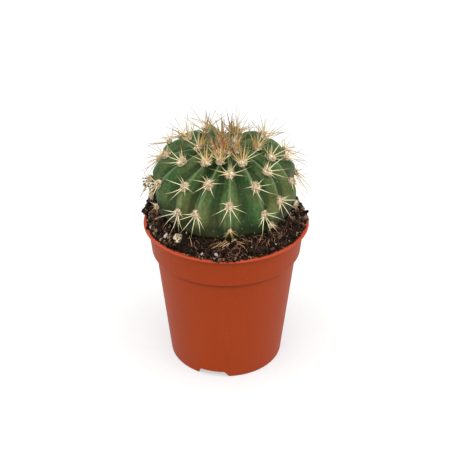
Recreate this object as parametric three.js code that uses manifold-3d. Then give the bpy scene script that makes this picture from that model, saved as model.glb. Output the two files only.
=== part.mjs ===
// A young Melocactus broadwayi in its nursery pot, in millimetres.
// +Z is up, -Y is the front, and the origin is the centre of the pot's foot, on the ground.

import * as THREE from 'three';
import { mergeVertices } from 'three/addons/utils/BufferGeometryUtils.js';
import Module from 'manifold-3d';

const wasm = await Module();
wasm.setup();

const GAP = 0.3;

const POT = {
  height: 51.3,
  lipRadius: 27.5,
  lipThickness: 1.3,
  lipInnerRadius: 25.6,
  collarTopRadius: 26,
  collarBottomRadius: 25,
  collarHeight: 10.5,
  wallTopRadius: 23.7,
  footRadius: 19.5,
  footRounding: 0.5,
  footRingWidth: 1.9,
  footRingHeight: 2.4,
  wall: 0.9,
  floorThickness: 1.2,
  drainRadius: 2.2,
  sideDrainRadius: 1.9,
  sideDrainDistance: 13.6,
  edge: 0.3,
  stepHeight: 0.4,
  segments: 48,
};
const NOTCH = {
  azimuths: [-14, 106, 226],
  leftFoot: 4.8,
  leftTop: 4.1,
  rightFoot: 5.5,
  rightTop: 4.2,
  height: 1.8,
};

// The plant's body: one ribbed globe, leaning to the front, on a short tapering root.
const BODY = {
  radius: 23.8,
  upperHeight: 14.2,
  lowerHeight: 17,
  squareness: 2.2,
  heightOverRim: 14,
  offsetX: -0.4,
  offsetY: 0.3,
  leanForward: 8,
  leanRight: 2,
  crownDip: 1.6,
  crownDipWidth: 12,
  lowestLatitude: -62,
  root: [[6.2, -17.4], [4.4, -20], [3.2, -25], [2, -30]],
};
const FURROW = {
  depth: 3.3,
  crownFade: 58,
  lowDepth: 1.4,
  lowLatitude: -40,
  roundness: 1.35,
  steps: 6,
};

// Each rib: its azimuth from the front toward the right, and the latitude of its lowest
// spine cushion with the step up to the next one, all in degrees.
const RIBS = [
  [4, -8, 31],
  [28, 8, 29],
  [48, -17, 33],
  [72, -14, 34],
  [97, 0, 33],
  [122, -13, 34],
  [146, 6, 31],
  [170, -6, 33],
  [194, 9, 30],
  [218, -12, 33],
  [245, 3, 32],
  [270, 1, 34],
  [295, -17, 34],
  [322, 3, 31],
  [343, 9, 30],
];
const CUSHIONS_PER_RIB = 3;

const CUSHION = {
  acrossRadius: 1.6,
  alongRadius: 1.85,
  thickness: 1.25,
  gap: 0.4,
  sides: 6,
  keepOff: 2.45,
  dimpleRadius: 2.8,
};
const SPINE = {
  baseRadius: 0.27,
  sides: 3,
  rootHeight: 0.95,
  rootOffset: 0.5,
  radialLength: 7.2,
  upperLength: 4.6,
  centralLength: 6.4,
  youngExtra: 2,
  lengthSpread: 0.28,
  angleSpread: 16,
  raise: 27,
  raiseSpread: 8,
  steepest: 84,
  centralLean: 12,
  centralLeanSpread: 10,
  youngRaise: 24,
  youngFrom: 32,
  youngTo: 68,
  clearance: 0.66,
  skinClearance: 0.7,
  groundClearance: 0.7,
  reach: 29.5,
  reachSpread: 1.8,
};
const RADIAL_ANGLES = [180, 138, -138, 96, -96, 54, -54];
const CROWN = {
  capRadius: 5.4,
  capThickness: 1.3,
  capSides: 16,
  rootSpread: 4.1,
  rootHeight: 0.8,
  spines: 62,
  shortest: 7.6,
  longest: 10.2,
  innerTilt: 4,
  outerTilt: 36,
  tiltSpread: 10,
};

const SOIL = {
  innerRadius: 19.5,
  outerRadius: 26.2,
  edgeSlope: 2,
  contactHeight: 5.6,
  frontDrop: 1.1,
  sideRise: 1.1,
  edgeHeight: 0.5,
  edgeFrontDrop: 1,
  edgeLeftRise: 2.2,
  leftClumpAzimuth: -115,
  crumb: 0.7,
  wallDepth: 2,
  dimpleHeight: 3.5,
  segments: 60,
  hollowSegments: 40,
  rings: [14, 17.5, 19.5, 21, 22.4, 23.8, 25.1],
};

const COLOURS = {
  pot: '#a84a2a',
  soil: '#33271f',
  skin: '#3c6a3f',
  youngSpines: '#c8923f',
  spines: '#dfc98c',
};

const { degToRad, radToDeg, smoothstep, lerp } = THREE.MathUtils;
const GOLDEN_ANGLE = Math.PI * (3 - Math.sqrt(5));
const rimZ = POT.height;
const floorTop = POT.footRingHeight + POT.floorThickness;

/** A number from 0 to 1 that is always the same for the same count. */
const draw = (count) => {
  const wave = Math.sin(count * 127.1 + 31.7) * 43758.5453;
  return wave - Math.floor(wave);
};

/** A three.js geometry as a solid that can be joined and cut. */
const toSolid = (geometry) => {
  const bare = geometry.clone();
  bare.deleteAttribute('normal');
  bare.deleteAttribute('uv');
  const merged = mergeVertices(bare, 1e-5);
  return new wasm.Manifold(new wasm.Mesh({
    numProp: 3,
    vertProperties: new Float32Array(merged.attributes.position.array),
    triVerts: new Uint32Array(merged.index.array),
  }));
};

/** A joined or cut solid as a three.js geometry. */
const toGeometry = (solid) => {
  const mesh = solid.getMesh();
  const geometry = new THREE.BufferGeometry();
  geometry.setAttribute('position', new THREE.Float32BufferAttribute(mesh.vertProperties, 3));
  geometry.setIndex(Array.from(mesh.triVerts));
  geometry.computeVertexNormals();
  return geometry;
};

/** A closed skin through rings of points, counterclockwise seen from +Z, from the top down. */
const skinOfRings = (top, rings, bottom) => {
  const points = [top, ...rings.flat(), bottom];
  const count = rings[0].length;
  const at = (row, column) => 1 + row * count + (column % count);
  const triangles = [];
  for (let column = 0; column < count; column += 1) {
    triangles.push(0, at(0, column), at(0, column + 1));
    triangles.push(points.length - 1, at(rings.length - 1, column + 1), at(rings.length - 1, column));
  }
  for (let row = 0; row < rings.length - 1; row += 1) {
    for (let column = 0; column < count; column += 1) {
      triangles.push(at(row, column), at(row + 1, column), at(row + 1, column + 1));
      triangles.push(at(row, column), at(row + 1, column + 1), at(row, column + 1));
    }
  }
  const geometry = new THREE.BufferGeometry();
  const numbers = points.flatMap((point) => [point.x, point.y, point.z]);
  geometry.setAttribute('position', new THREE.Float32BufferAttribute(numbers, 3));
  geometry.setIndex(triangles);
  geometry.computeVertexNormals();
  return geometry;
};

/** A direction from an azimuth, counted from the front toward the right. */
const outward = (azimuth) => new THREE.Vector3(Math.sin(azimuth), -Math.cos(azimuth), 0);

const named = (name, geometry, colour, roughness) => {
  const material = new THREE.MeshStandardMaterial({ color: colour, roughness, metalness: 0 });
  const mesh = new THREE.Mesh(geometry, material);
  mesh.name = name;
  return mesh;
};

// The pot

/** The radius of the outer wall at a height between the foot and the collar. */
const outerWall = (z) => lerp(POT.footRadius, POT.wallTopRadius, z / (rimZ - POT.collarHeight));

/** The radius of the inner wall at a height between the floor and the lip. */
const innerWall = (z) => {
  const collarZ = rimZ - POT.collarHeight;
  if (z <= collarZ) return outerWall(z) - POT.wall;
  const up = (z - collarZ) / POT.collarHeight;
  return lerp(POT.collarBottomRadius - POT.wall, POT.lipInnerRadius, up);
};

const potGeometry = () => {
  const collarZ = rimZ - POT.collarHeight;
  const lipZ = rimZ - POT.lipThickness;
  const footInner = POT.footRadius - POT.footRingWidth;
  const outline = [
    [POT.drainRadius, POT.footRingHeight],
    [footInner - 0.2, POT.footRingHeight],
    [footInner, 0],
    [POT.footRadius - POT.footRounding, 0],
    [POT.footRadius - 0.1, 0.2],
    [outerWall(1), 1],
    [POT.wallTopRadius, collarZ],
    [POT.collarBottomRadius - 0.2, collarZ],
    [POT.collarBottomRadius, collarZ + 0.2],
    [POT.collarTopRadius, lipZ],
    [POT.lipRadius - 0.2, lipZ],
    [POT.lipRadius, lipZ + POT.edge],
    [POT.lipRadius, rimZ - POT.edge],
    [POT.lipRadius - POT.edge, rimZ],
    [POT.lipInnerRadius + POT.edge, rimZ],
    [POT.lipInnerRadius, rimZ - POT.edge],
    [innerWall(collarZ + POT.stepHeight), collarZ + POT.stepHeight],
    [innerWall(collarZ), collarZ - POT.wall],
    [innerWall(floorTop), floorTop],
    [POT.drainRadius, floorTop],
  ];
  const profile = outline.map(([radius, z]) => new THREE.Vector2(radius, z));
  profile.push(profile[0].clone());
  const turned = new THREE.LatheGeometry(profile, POT.segments);
  turned.rotateX(Math.PI / 2);
  let pot = toSolid(turned);
  for (const azimuth of NOTCH.azimuths) {
    pot = pot.subtract(notchSolid(azimuth)).subtract(sideDrainSolid(azimuth));
  }
  return toGeometry(pot);
};

/** The gap in the foot ring that lets water run off, with slanted ends. */
const notchSolid = (azimuth) => {
  const shape = new THREE.Shape();
  shape.moveTo(-NOTCH.leftFoot, -1);
  shape.lineTo(NOTCH.rightFoot, -1);
  shape.lineTo(NOTCH.rightFoot, 0);
  shape.lineTo(NOTCH.rightTop, NOTCH.height);
  shape.lineTo(-NOTCH.leftTop, NOTCH.height);
  shape.lineTo(-NOTCH.leftFoot, 0);
  shape.closePath();
  const depth = POT.footRingWidth + 4;
  const bar = new THREE.ExtrudeGeometry(shape, { depth, bevelEnabled: false });
  bar.rotateX(Math.PI / 2);
  bar.translate(0, -(POT.footRadius - POT.footRingWidth - 2), 0);
  bar.rotateZ(degToRad(azimuth));
  return toSolid(bar);
};

/** The round drain hole in the floor behind a notch. */
const sideDrainSolid = (azimuth) => {
  const height = POT.floorThickness + 2;
  const drill = new THREE.CylinderGeometry(POT.sideDrainRadius, POT.sideDrainRadius, height, 16);
  drill.rotateX(Math.PI / 2);
  const place = outward(degToRad(azimuth)).multiplyScalar(POT.sideDrainDistance);
  drill.translate(place.x, place.y, floorTop - POT.floorThickness / 2);
  return toSolid(drill);
};

// The plant's body

const plant = new THREE.Group();
plant.position.set(BODY.offsetX, BODY.offsetY, rimZ + BODY.heightOverRim);
plant.rotation.set(degToRad(BODY.leanForward), degToRad(BODY.leanRight), 0);
plant.updateMatrix();
const plantInverse = plant.matrix.clone().invert();

const ribAzimuths = RIBS.map(([azimuth]) => degToRad(azimuth));

/** A point on the surface through the rib crests. */
const crestPoint = (azimuth, latitude) => {
  const height = latitude >= 0 ? BODY.upperHeight : BODY.lowerHeight;
  const power = 2 / BODY.squareness;
  const radius = BODY.radius * Math.cos(latitude) ** power;
  const point = outward(azimuth).multiplyScalar(radius);
  point.z = height * Math.sign(latitude) * Math.abs(Math.sin(latitude)) ** power;
  return point;
};

/** How far a place lies from the nearest crest: 0 on a crest, 1 in the middle of a furrow. */
const furrowShare = (azimuth) => {
  const turn = 2 * Math.PI;
  const from = (azimuth - ribAzimuths[0] + 2 * turn) % turn + ribAzimuths[0];
  const next = ribAzimuths.findIndex((rib) => rib > from);
  const end = next < 0 ? ribAzimuths[0] + turn : ribAzimuths[next];
  const start = ribAzimuths[(next < 0 ? ribAzimuths.length : next) - 1];
  return 1 - Math.abs((2 * (from - start)) / (end - start) - 1);
};

const furrowDepth = (latitude) => {
  const degrees = radToDeg(latitude);
  if (degrees >= 0) return FURROW.depth * (1 - smoothstep(degrees, FURROW.crownFade, 90));
  return lerp(FURROW.depth, FURROW.lowDepth, smoothstep(-degrees, 0, -FURROW.lowLatitude));
};

/** How far the skin reaches from the body's centre along a direction, with or without its furrows. */
const skinReach = (direction, hasFurrows = true) => {
  const radial = Math.hypot(direction.x, direction.y) / BODY.radius;
  const height = direction.z >= 0 ? BODY.upperHeight : BODY.lowerHeight;
  const axial = Math.abs(direction.z) / height;
  const reach = (radial ** BODY.squareness + axial ** BODY.squareness) ** (-1 / BODY.squareness);
  const latitude = Math.sign(direction.z) * Math.atan((axial / radial) ** (BODY.squareness / 2));
  const share = furrowShare(Math.atan2(direction.x, -direction.y));
  const fromCrown = (90 - radToDeg(latitude)) / BODY.crownDipWidth;
  const dip = BODY.crownDip * Math.exp(-(fromCrown ** 2));
  const furrow = hasFurrows ? furrowDepth(latitude) * share ** FURROW.roundness : 0;
  return reach - furrow - dip;
};

/** The point a little over the skin, on the ray from the body's centre through a point. */
const overSkin = (point, lift, hasFurrows = true) => {
  const direction = point.clone().normalize();
  return direction.multiplyScalar(skinReach(direction, hasFurrows) + lift);
};

const stemGeometry = () => {
  const columns = ribAzimuths.flatMap((start, index) => {
    const end = index + 1 < ribAzimuths.length ? ribAzimuths[index + 1] : ribAzimuths[0] + 2 * Math.PI;
    return Array.from({ length: FURROW.steps }, (_, step) => lerp(start, end, step / FURROW.steps));
  });
  const latitudes = [84, 76, 67, 57, 47, 36, 25, 14, 3, -8, -20, -32, -46, BODY.lowestLatitude];
  const rings = latitudes.map((degrees) => columns.map((azimuth) => (
    overSkin(crestPoint(azimuth, degToRad(degrees)), 0)
  )));
  for (const [radius, z] of BODY.root) {
    rings.push(columns.map((azimuth) => outward(azimuth).multiplyScalar(radius).setZ(z)));
  }
  const top = overSkin(new THREE.Vector3(1e-4, 0, 1), 0);
  const tip = BODY.root[BODY.root.length - 1][1] - 1;
  return skinOfRings(top.setX(0), rings, new THREE.Vector3(0, 0, tip));
};

// The soil

/** The height of the soil over the rim, banked up from the lip to the plant. */
const soilHeight = (azimuth, radius) => {
  const front = Math.max(0, Math.cos(azimuth)) ** 2;
  const side = Math.sin(azimuth) ** 2;
  const left = Math.max(0, Math.cos(azimuth - degToRad(SOIL.leftClumpAzimuth)));
  const contact = SOIL.contactHeight - SOIL.frontDrop * front + SOIL.sideRise * side;
  const edge = SOIL.edgeHeight - SOIL.edgeFrontDrop * front + SOIL.edgeLeftRise * left;
  const out = smoothstep(radius, SOIL.innerRadius, SOIL.outerRadius);
  const roundedOff = SOIL.edgeSlope * (POT.lipInnerRadius - radius);
  return Math.min(lerp(contact, edge, out), roundedOff);
};

const soilGeometry = () => {
  const turnStep = (2 * Math.PI) / SOIL.segments;
  const columns = Array.from({ length: SOIL.segments }, (_, index) => index * turnStep);
  const top = SOIL.rings.map((radius, row) => columns.map((azimuth, column) => {
    const crumb = SOIL.crumb * (2 * draw(row * SOIL.segments + column) - 1);
    const z = rimZ + soilHeight(azimuth, radius) + (row === 0 ? 0 : crumb);
    return outward(azimuth).multiplyScalar(radius).setZ(z);
  }));
  const collarZ = rimZ - POT.collarHeight;
  const stepZ = collarZ + POT.stepHeight;
  const side = [
    [innerWall(rimZ - SOIL.wallDepth), rimZ - SOIL.wallDepth],
    [innerWall(stepZ), stepZ + GAP / 2],
    [innerWall(collarZ), collarZ - POT.wall + GAP / 2],
    [innerWall(floorTop), floorTop + GAP],
  ];
  const wall = side.map(([radius, z]) => (
    columns.map((azimuth) => outward(azimuth).multiplyScalar(radius - GAP).setZ(z))
  ));
  const middle = new THREE.Vector3(0, 0, rimZ + SOIL.contactHeight);
  const bottom = new THREE.Vector3(0, 0, floorTop + GAP);
  let heap = toSolid(skinOfRings(middle, [...top, ...wall], bottom)).subtract(hollowSolid());
  for (const { centre } of cushionCentres) {
    const world = centre.clone().applyMatrix4(plant.matrix);
    const height = world.z - rimZ - SOIL.contactHeight;
    if (height < SOIL.dimpleHeight) heap = heap.subtract(dimpleSolid(world));
  }
  return toGeometry(heap);
};

/** The soil's round dimple about a low cushion. */
const dimpleSolid = (place) => {
  const ball = new THREE.IcosahedronGeometry(CUSHION.dimpleRadius, 1);
  ball.translate(place.x, place.y, place.z);
  return toSolid(ball);
};

/** The plain hollow that the body and its root stand in. */
const hollowSolid = () => {
  const profile = [new THREE.Vector2(0, BODY.root[BODY.root.length - 1][1] - 1 - GAP)];
  for (const [radius, z] of [...BODY.root].reverse()) {
    profile.push(new THREE.Vector2(radius + GAP, z - GAP));
  }
  for (let degrees = BODY.lowestLatitude; degrees <= 20; degrees += 9) {
    const crest = crestPoint(Math.PI / 2, degToRad(degrees));
    profile.push(new THREE.Vector2(crest.x + GAP, crest.z - GAP));
  }
  profile.push(new THREE.Vector2(0, profile[profile.length - 1].y));
  const turned = new THREE.LatheGeometry(profile, SOIL.hollowSegments);
  turned.rotateX(Math.PI / 2);
  turned.applyMatrix4(plant.matrix);
  return toSolid(turned);
};

// The spines

const placed = [];
const cushionCentres = [];

/** The shortest distance between two straight stretches. */
const stretchDistance = (a, b) => {
  const along = b.tip.clone().sub(b.root);
  let nearest = Infinity;
  const samples = 12;
  for (let index = 0; index <= samples; index += 1) {
    const point = a.root.clone().lerp(a.tip, index / samples);
    const share = THREE.MathUtils.clamp(point.clone().sub(b.root).dot(along) / along.lengthSq(), 0, 1);
    nearest = Math.min(nearest, point.distanceTo(b.root.clone().addScaledVector(along, share)));
  }
  return nearest;
};

/** Whether a spine of one cushion stays clear of the skin, soil, pot and other cushions. */
const isClear = (spine, owner) => {
  for (let share = 0.3; share <= 1.001; share += 0.1) {
    const point = spine.root.clone().lerp(spine.tip, share);
    const direction = point.clone().normalize();
    if (point.length() < skinReach(direction) + SPINE.skinClearance) return false;
    const world = point.clone().applyMatrix4(plant.matrix);
    const radius = Math.hypot(world.x, world.y);
    const azimuth = Math.atan2(world.x, -world.y);
    const ground = Math.max(0, soilHeight(azimuth, radius));
    if (world.z < rimZ + ground + SOIL.crumb + SPINE.groundClearance) return false;
    for (const other of cushionCentres) {
      if (other.owner !== owner && point.distanceTo(other.centre) < CUSHION.keepOff) return false;
    }
  }
  return placed.every((other) => (
    other.owner === owner || stretchDistance(spine, other) > SPINE.clearance
  ));
};

/** Shortens a spine whose tip would reach out too far to a side. */
const keepInReach = (spine) => {
  const reach = SPINE.reach - SPINE.reachSpread * draw(placed.length);
  const root = spine.root.clone().applyMatrix4(plant.matrix);
  const tip = spine.tip.clone().applyMatrix4(plant.matrix);
  for (const axis of ['x', 'y']) {
    const limit = reach * Math.sign(tip[axis]);
    if (Math.abs(tip[axis]) > reach) tip.lerp(root, (tip[axis] - limit) / (tip[axis] - root[axis]));
  }
  return { ...spine, tip: tip.applyMatrix4(plantInverse) };
};

/** Tries a spine as it should grow, then bent a little more each time until it is clear. */
const growSpine = (owner, aim) => {
  const bends = [0, 9, -9, 18, -18, 27, -27];
  const lifts = [0, 8, 16, 24, 34, 44];
  for (const share of [1, 0.8]) {
    for (const lift of lifts) {
      for (const bend of bends) {
        const spine = keepInReach({ owner, ...aim(bend, lift, share) });
        if (isClear(spine, owner)) {
          placed.push(spine);
          return [spine];
        }
      }
    }
  }
  return [];
};

/** A slender three-sided needle from its root to its tip. */
const needleSolid = ({ root, tip }) => {
  const length = root.distanceTo(tip);
  const cone = new THREE.ConeGeometry(SPINE.baseRadius, length, SPINE.sides);
  cone.translate(0, length / 2, 0);
  const turn = new THREE.Quaternion().setFromUnitVectors(
    new THREE.Vector3(0, 1, 0),
    tip.clone().sub(root).normalize(),
  );
  cone.applyQuaternion(turn);
  cone.translate(root.x, root.y, root.z);
  return toSolid(cone);
};

/** A cushion of wool that follows the skin under it. */
const woolSolid = (centre, side, up, size) => {
  const angles = Array.from({ length: size.sides }, (_, index) => (
    Math.PI / 2 + (2 * Math.PI * index) / size.sides
  ));
  const layer = (share, lift) => angles.map((angle) => {
    const point = centre.clone();
    point.addScaledVector(side, share * size.across * Math.cos(angle));
    point.addScaledVector(up, share * size.along * Math.sin(angle));
    return overSkin(point, lift, size.hasFurrows);
  });
  const base = CUSHION.gap;
  const dome = (share) => base + size.thickness * Math.sqrt(1 - share ** 2);
  const rings = [
    layer(0.6, dome(0.6)),
    layer(1, base + 0.2),
    layer(0.75, base),
  ];
  const top = overSkin(centre, base + size.thickness, size.hasFurrows);
  return toSolid(skinOfRings(top, rings, overSkin(centre, base, size.hasFurrows)));
};

const joinAll = (solids) => solids.reduce((joined, solid) => joined.add(solid));

/** One areole: its wool and its spines as one body. */
const areole = (rib, index) => {
  const [ribDegrees, lowest, step] = RIBS[rib];
  const degrees = lowest + step * index;
  const azimuth = degToRad(ribDegrees);
  const latitude = degToRad(degrees);
  const centre = crestPoint(azimuth, latitude);
  const below = crestPoint(azimuth, latitude - 0.03);
  const above = crestPoint(azimuth, latitude + 0.03);
  const up = above.clone().sub(below).normalize();
  const side = new THREE.Vector3(Math.cos(azimuth), Math.sin(azimuth), 0);
  const normal = side.clone().cross(up).normalize();
  const youth = smoothstep(degrees, SPINE.youngFrom, SPINE.youngTo);
  const name = `areole_${String(rib + 1).padStart(2, '0')}_${index + 1}`;
  return { name, rib, index, centre, up, side, normal, youth };
};

const growAreole = (spot) => {
  const { name, centre, up, side, normal, youth } = spot;
  const seed = 100 * spot.rib + 30 * spot.index;
  const spines = RADIAL_ANGLES.flatMap((plan, count) => {
    const angle = plan + SPINE.angleSpread * (draw(seed + count) - 0.5);
    const own = Math.abs(plan) < 60 ? SPINE.upperLength : SPINE.radialLength;
    const grown = 1 + SPINE.lengthSpread * (draw(seed + count + 10) - 0.5);
    const length = (own + SPINE.youngExtra * youth) * grown;
    const spread = SPINE.raiseSpread * (draw(seed + count + 20) - 0.5);
    const raise = SPINE.raise + SPINE.youngRaise * youth + spread;
    return growSpine(name, (bend, lift, share) => {
      const around = degToRad(angle + bend);
      const rise = degToRad(Math.min(raise + lift, SPINE.steepest));
      const flat = up.clone().multiplyScalar(Math.cos(around)).addScaledVector(side, Math.sin(around));
      const way = flat.clone().multiplyScalar(Math.cos(rise)).addScaledVector(normal, Math.sin(rise));
      const root = overSkin(centre.clone().addScaledVector(flat, SPINE.rootOffset), SPINE.rootHeight);
      return { root, tip: root.clone().addScaledVector(way, length * share) };
    });
  });
  const central = growSpine(name, (bend, lift, share) => {
    const lean = degToRad(SPINE.centralLean + SPINE.centralLeanSpread * draw(seed + 29) + lift);
    const way = normal.clone().multiplyScalar(Math.cos(lean)).addScaledVector(up, Math.sin(lean));
    way.addScaledVector(side, Math.sin(degToRad(bend)));
    const root = overSkin(centre, SPINE.rootHeight);
    const length = SPINE.centralLength + SPINE.youngExtra * youth;
    return { root, tip: root.clone().addScaledVector(way.normalize(), length * share) };
  });
  const size = {
    across: CUSHION.acrossRadius,
    along: CUSHION.alongRadius,
    thickness: CUSHION.thickness,
    sides: CUSHION.sides,
    hasFurrows: true,
  };
  const wool = woolSolid(centre, side, up, size);
  const colour = new THREE.Color(COLOURS.spines).lerp(new THREE.Color(COLOURS.youngSpines), 0.5 * youth);
  return named(name, toGeometry(joinAll([wool, ...[...spines, ...central].map(needleSolid)])), colour, 0.6);
};

/** The youngest areoles, crowded over the crown: a cap of wool full of upright spines. */
const growCrown = () => {
  const spines = [];
  for (let count = 0; count < CROWN.spines; count += 1) {
    const share = Math.sqrt((count + 0.5) / CROWN.spines);
    const azimuth = count * GOLDEN_ANGLE;
    const foot = outward(azimuth).multiplyScalar(share * CROWN.rootSpread).setZ(BODY.upperHeight);
    const root = overSkin(foot, CROWN.rootHeight, false);
    const spreading = CROWN.tiltSpread * (draw(900 + count) - 0.5);
    const tilt = degToRad(lerp(CROWN.innerTilt, CROWN.outerTilt, share) + spreading);
    const length = lerp(CROWN.shortest, CROWN.longest, draw(1000 + count));
    spines.push(...growSpine('crown', (bend, lift, part) => {
      const spread = Math.sin(Math.max(tilt - degToRad(lift / 2), 0));
      const way = outward(azimuth + degToRad(bend)).multiplyScalar(spread).setZ(Math.cos(tilt));
      return { root, tip: root.clone().addScaledVector(way.normalize(), length * part) };
    }));
  }
  const size = {
    across: CROWN.capRadius,
    along: CROWN.capRadius,
    thickness: CROWN.capThickness,
    sides: CROWN.capSides,
    hasFurrows: false,
  };
  const top = new THREE.Vector3(1e-4, 0, BODY.upperHeight);
  const wool = woolSolid(top, new THREE.Vector3(1, 0, 0), new THREE.Vector3(0, 1, 0), size);
  return named('crown', toGeometry(joinAll([wool, ...spines.map(needleSolid)])), COLOURS.youngSpines, 0.6);
};

const spots = [];
for (let index = CUSHIONS_PER_RIB - 1; index >= 0; index -= 1) {
  RIBS.forEach((_, rib) => spots.push(areole(rib, index)));
}
for (const spot of spots) {
  const centre = spot.centre.clone().addScaledVector(spot.normal, CUSHION.thickness / 2);
  cushionCentres.push({ owner: spot.name, centre });
}

const crown = growCrown();
plant.add(named('stem', stemGeometry(), COLOURS.skin, 0.55));
plant.add(crown);
for (const spot of spots) plant.add(growAreole(spot));

const group = new THREE.Group();
group.add(named('pot', potGeometry(), COLOURS.pot, 0.45));
group.add(named('soil', soilGeometry(), COLOURS.soil, 0.95));
group.add(plant);

export default group;
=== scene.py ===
# A potted melocactus as it looks: the moulded pot, the peat, the ribbed body, its wool and its spines.
# Metres, +Z up and -Y the front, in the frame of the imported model.
import math
from collections import namedtuple
from contextlib import contextmanager
from functools import lru_cache

import bpy
from mathutils import Matrix, Vector, noise


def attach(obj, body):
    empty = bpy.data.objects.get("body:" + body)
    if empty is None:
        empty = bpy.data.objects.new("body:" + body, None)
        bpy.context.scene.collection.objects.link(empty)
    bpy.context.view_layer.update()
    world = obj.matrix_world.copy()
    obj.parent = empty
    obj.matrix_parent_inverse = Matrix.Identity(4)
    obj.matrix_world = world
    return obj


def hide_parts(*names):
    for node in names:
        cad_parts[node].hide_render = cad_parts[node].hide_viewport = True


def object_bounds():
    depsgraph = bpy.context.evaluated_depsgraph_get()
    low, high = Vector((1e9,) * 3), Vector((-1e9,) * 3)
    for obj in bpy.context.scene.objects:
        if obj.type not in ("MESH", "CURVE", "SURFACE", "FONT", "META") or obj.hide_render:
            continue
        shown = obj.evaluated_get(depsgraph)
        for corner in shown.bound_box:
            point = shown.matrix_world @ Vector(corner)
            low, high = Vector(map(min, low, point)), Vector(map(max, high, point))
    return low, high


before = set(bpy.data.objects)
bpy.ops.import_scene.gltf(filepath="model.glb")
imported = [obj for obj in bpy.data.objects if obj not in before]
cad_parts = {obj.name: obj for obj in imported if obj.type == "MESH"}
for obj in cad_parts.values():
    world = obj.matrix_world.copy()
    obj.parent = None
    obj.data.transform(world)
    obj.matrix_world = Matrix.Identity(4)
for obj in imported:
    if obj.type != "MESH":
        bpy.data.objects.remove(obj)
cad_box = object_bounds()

MM = 0.001
FULL_TURN = 2 * math.pi
GOLDEN_ANGLE = math.pi * (3 - math.sqrt(5))
# Closer than this, two places count as the same.
SAME = 0.01 * MM


class Pot:
    height = 51.3 * MM
    lip_radius = 27.5 * MM
    lip_thickness = 0.65 * MM
    lip_inner_radius = 25.6 * MM
    collar_top_radius = 26 * MM
    collar_bottom_radius = 25 * MM
    collar_height = 10.5 * MM
    wall_top_radius = 23.7 * MM
    foot_radius = 19.5 * MM
    foot_ring_width = 1.9 * MM
    foot_ring_height = 2.4 * MM
    wall = 0.9 * MM
    floor_thickness = 1.2 * MM
    drain_radius = 2.2 * MM
    side_drain_radius = 1.9 * MM
    side_drain_distance = 13.6 * MM
    step_height = 0.4 * MM
    segments = 144
    corner_segments = 4
    smooth_below = 32
    drain_segments = 40
    drain_overcut = 2 * MM


class Notch:
    azimuths = (-14, 106, 226)
    left_foot = 4.8 * MM
    left_top = 4.1 * MM
    right_foot = 5.5 * MM
    right_top = 4.2 * MM
    height = 2.15 * MM
    rounding = 0.6 * MM
    overcut = 4 * MM
    outset = 0.6 * MM
    # Its ends from the rounding down: each drop as a share of the rounding, and how it widens.
    # The last drop only reaches under the ground.
    flares = ((0.5, 1.02), (0.3, 1.04), (0.2, 1.08), (1, 1))


class Body:
    radius = 23.8 * MM
    upper_height = 14.2 * MM
    lower_height = 17 * MM
    squareness = 2.2
    height_over_rim = 14 * MM
    offset_x = -0.4 * MM
    offset_y = 0.3 * MM
    lean_forward = 8
    lean_right = 2
    crown_dip = 1.6 * MM
    crown_dip_width = 12
    lowest_latitude = -62
    root = ((6.2 * MM, -17.4 * MM), (4.4 * MM, -20 * MM), (3.2 * MM, -25 * MM), (2 * MM, -30 * MM))
    root_share = 0.1
    columns_per_rib = 16
    rows = 104
    pole_from = 89.9
    # The hump under each cushion and the notch over it: height, degrees up the rib, and width.
    swellings = ((0.45 * MM, -9, 6), (-0.35 * MM, 3, 4.5))
    swelling_fade = (60, 80)
    worn_width = 8
    # The pattern that runs up the ribs: its radius, and its height for each degree.
    flow_radius = 20 * MM
    flow_rise = 0.04 * MM


class Furrow:
    depth = 3.3 * MM
    crown_fade = 58
    low_depth = 0.25 * MM
    low_latitude = 20
    roundness = 1.8


# Each rib: its azimuth from the front toward the right, and the latitude of its lowest
# cushion with the step up to the next one, all in degrees.
RIBS = (
    (4, -8, 31),
    (28, 8, 29),
    (48, -17, 33),
    (72, -14, 34),
    (97, 0, 33),
    (122, -13, 34),
    (146, 6, 31),
    (170, -6, 33),
    (194, 9, 30),
    (218, -12, 33),
    (245, 3, 32),
    (270, 1, 34),
    (295, -17, 34),
    (322, 3, 31),
    (343, 9, 30),
)
CUSHIONS_PER_RIB = 3

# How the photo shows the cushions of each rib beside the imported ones, from the lowest up:
# how many degrees further to the right and up, and the size of the wool.
SHIFTS = (
    ((0, 3, 0.5), (-1, 0, 0.95), (0, 2, 1)),
    ((2, 0, 0.8), (0, 3, 1), (-1, 0, 1)),
    ((-11, 9, 0.7), (-2, 0, 0.9), (2, 0, 0.95)),
    ((5, 0, 0.8), (-4, 3, 0.95), (2, 1, 1)),
    ((8, 0, 0.65), (-6, 6, 0.7), (-10, 2, 0.9)),
    ((0, 0, 1), (0, -3, 0.65), (0, 0, 0.75)),
    ((0, 0, 1), (0, -9, 0.6), (0, 8, 0.6)),
    ((0, 0, 1), (0, -7, 0.6), (-3, 13, 0.5)),
    ((0, 0, 1), (0, -9, 0.6), (6, 11, 0.5)),
    ((0, 0, 0.7), (3, 0, 0.8), (2, 12, 0.7)),
    ((0, 0, 0.8), (-5, -6, 0.7), (3, -8, 0.8)),
    ((-1, -2, 0.85), (2, 5, 1), (12, 1, 0.95)),
    ((0, 6, 0.7), (0, 0, 0.95), (3, 1, 1)),
    ((1, 0, 0.8), (0, 0, 0.95), (4, -1, 1)),
    ((-5, 0, 0.85), (0, 5, 1), (5, 0, 0.9)),
)


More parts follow.
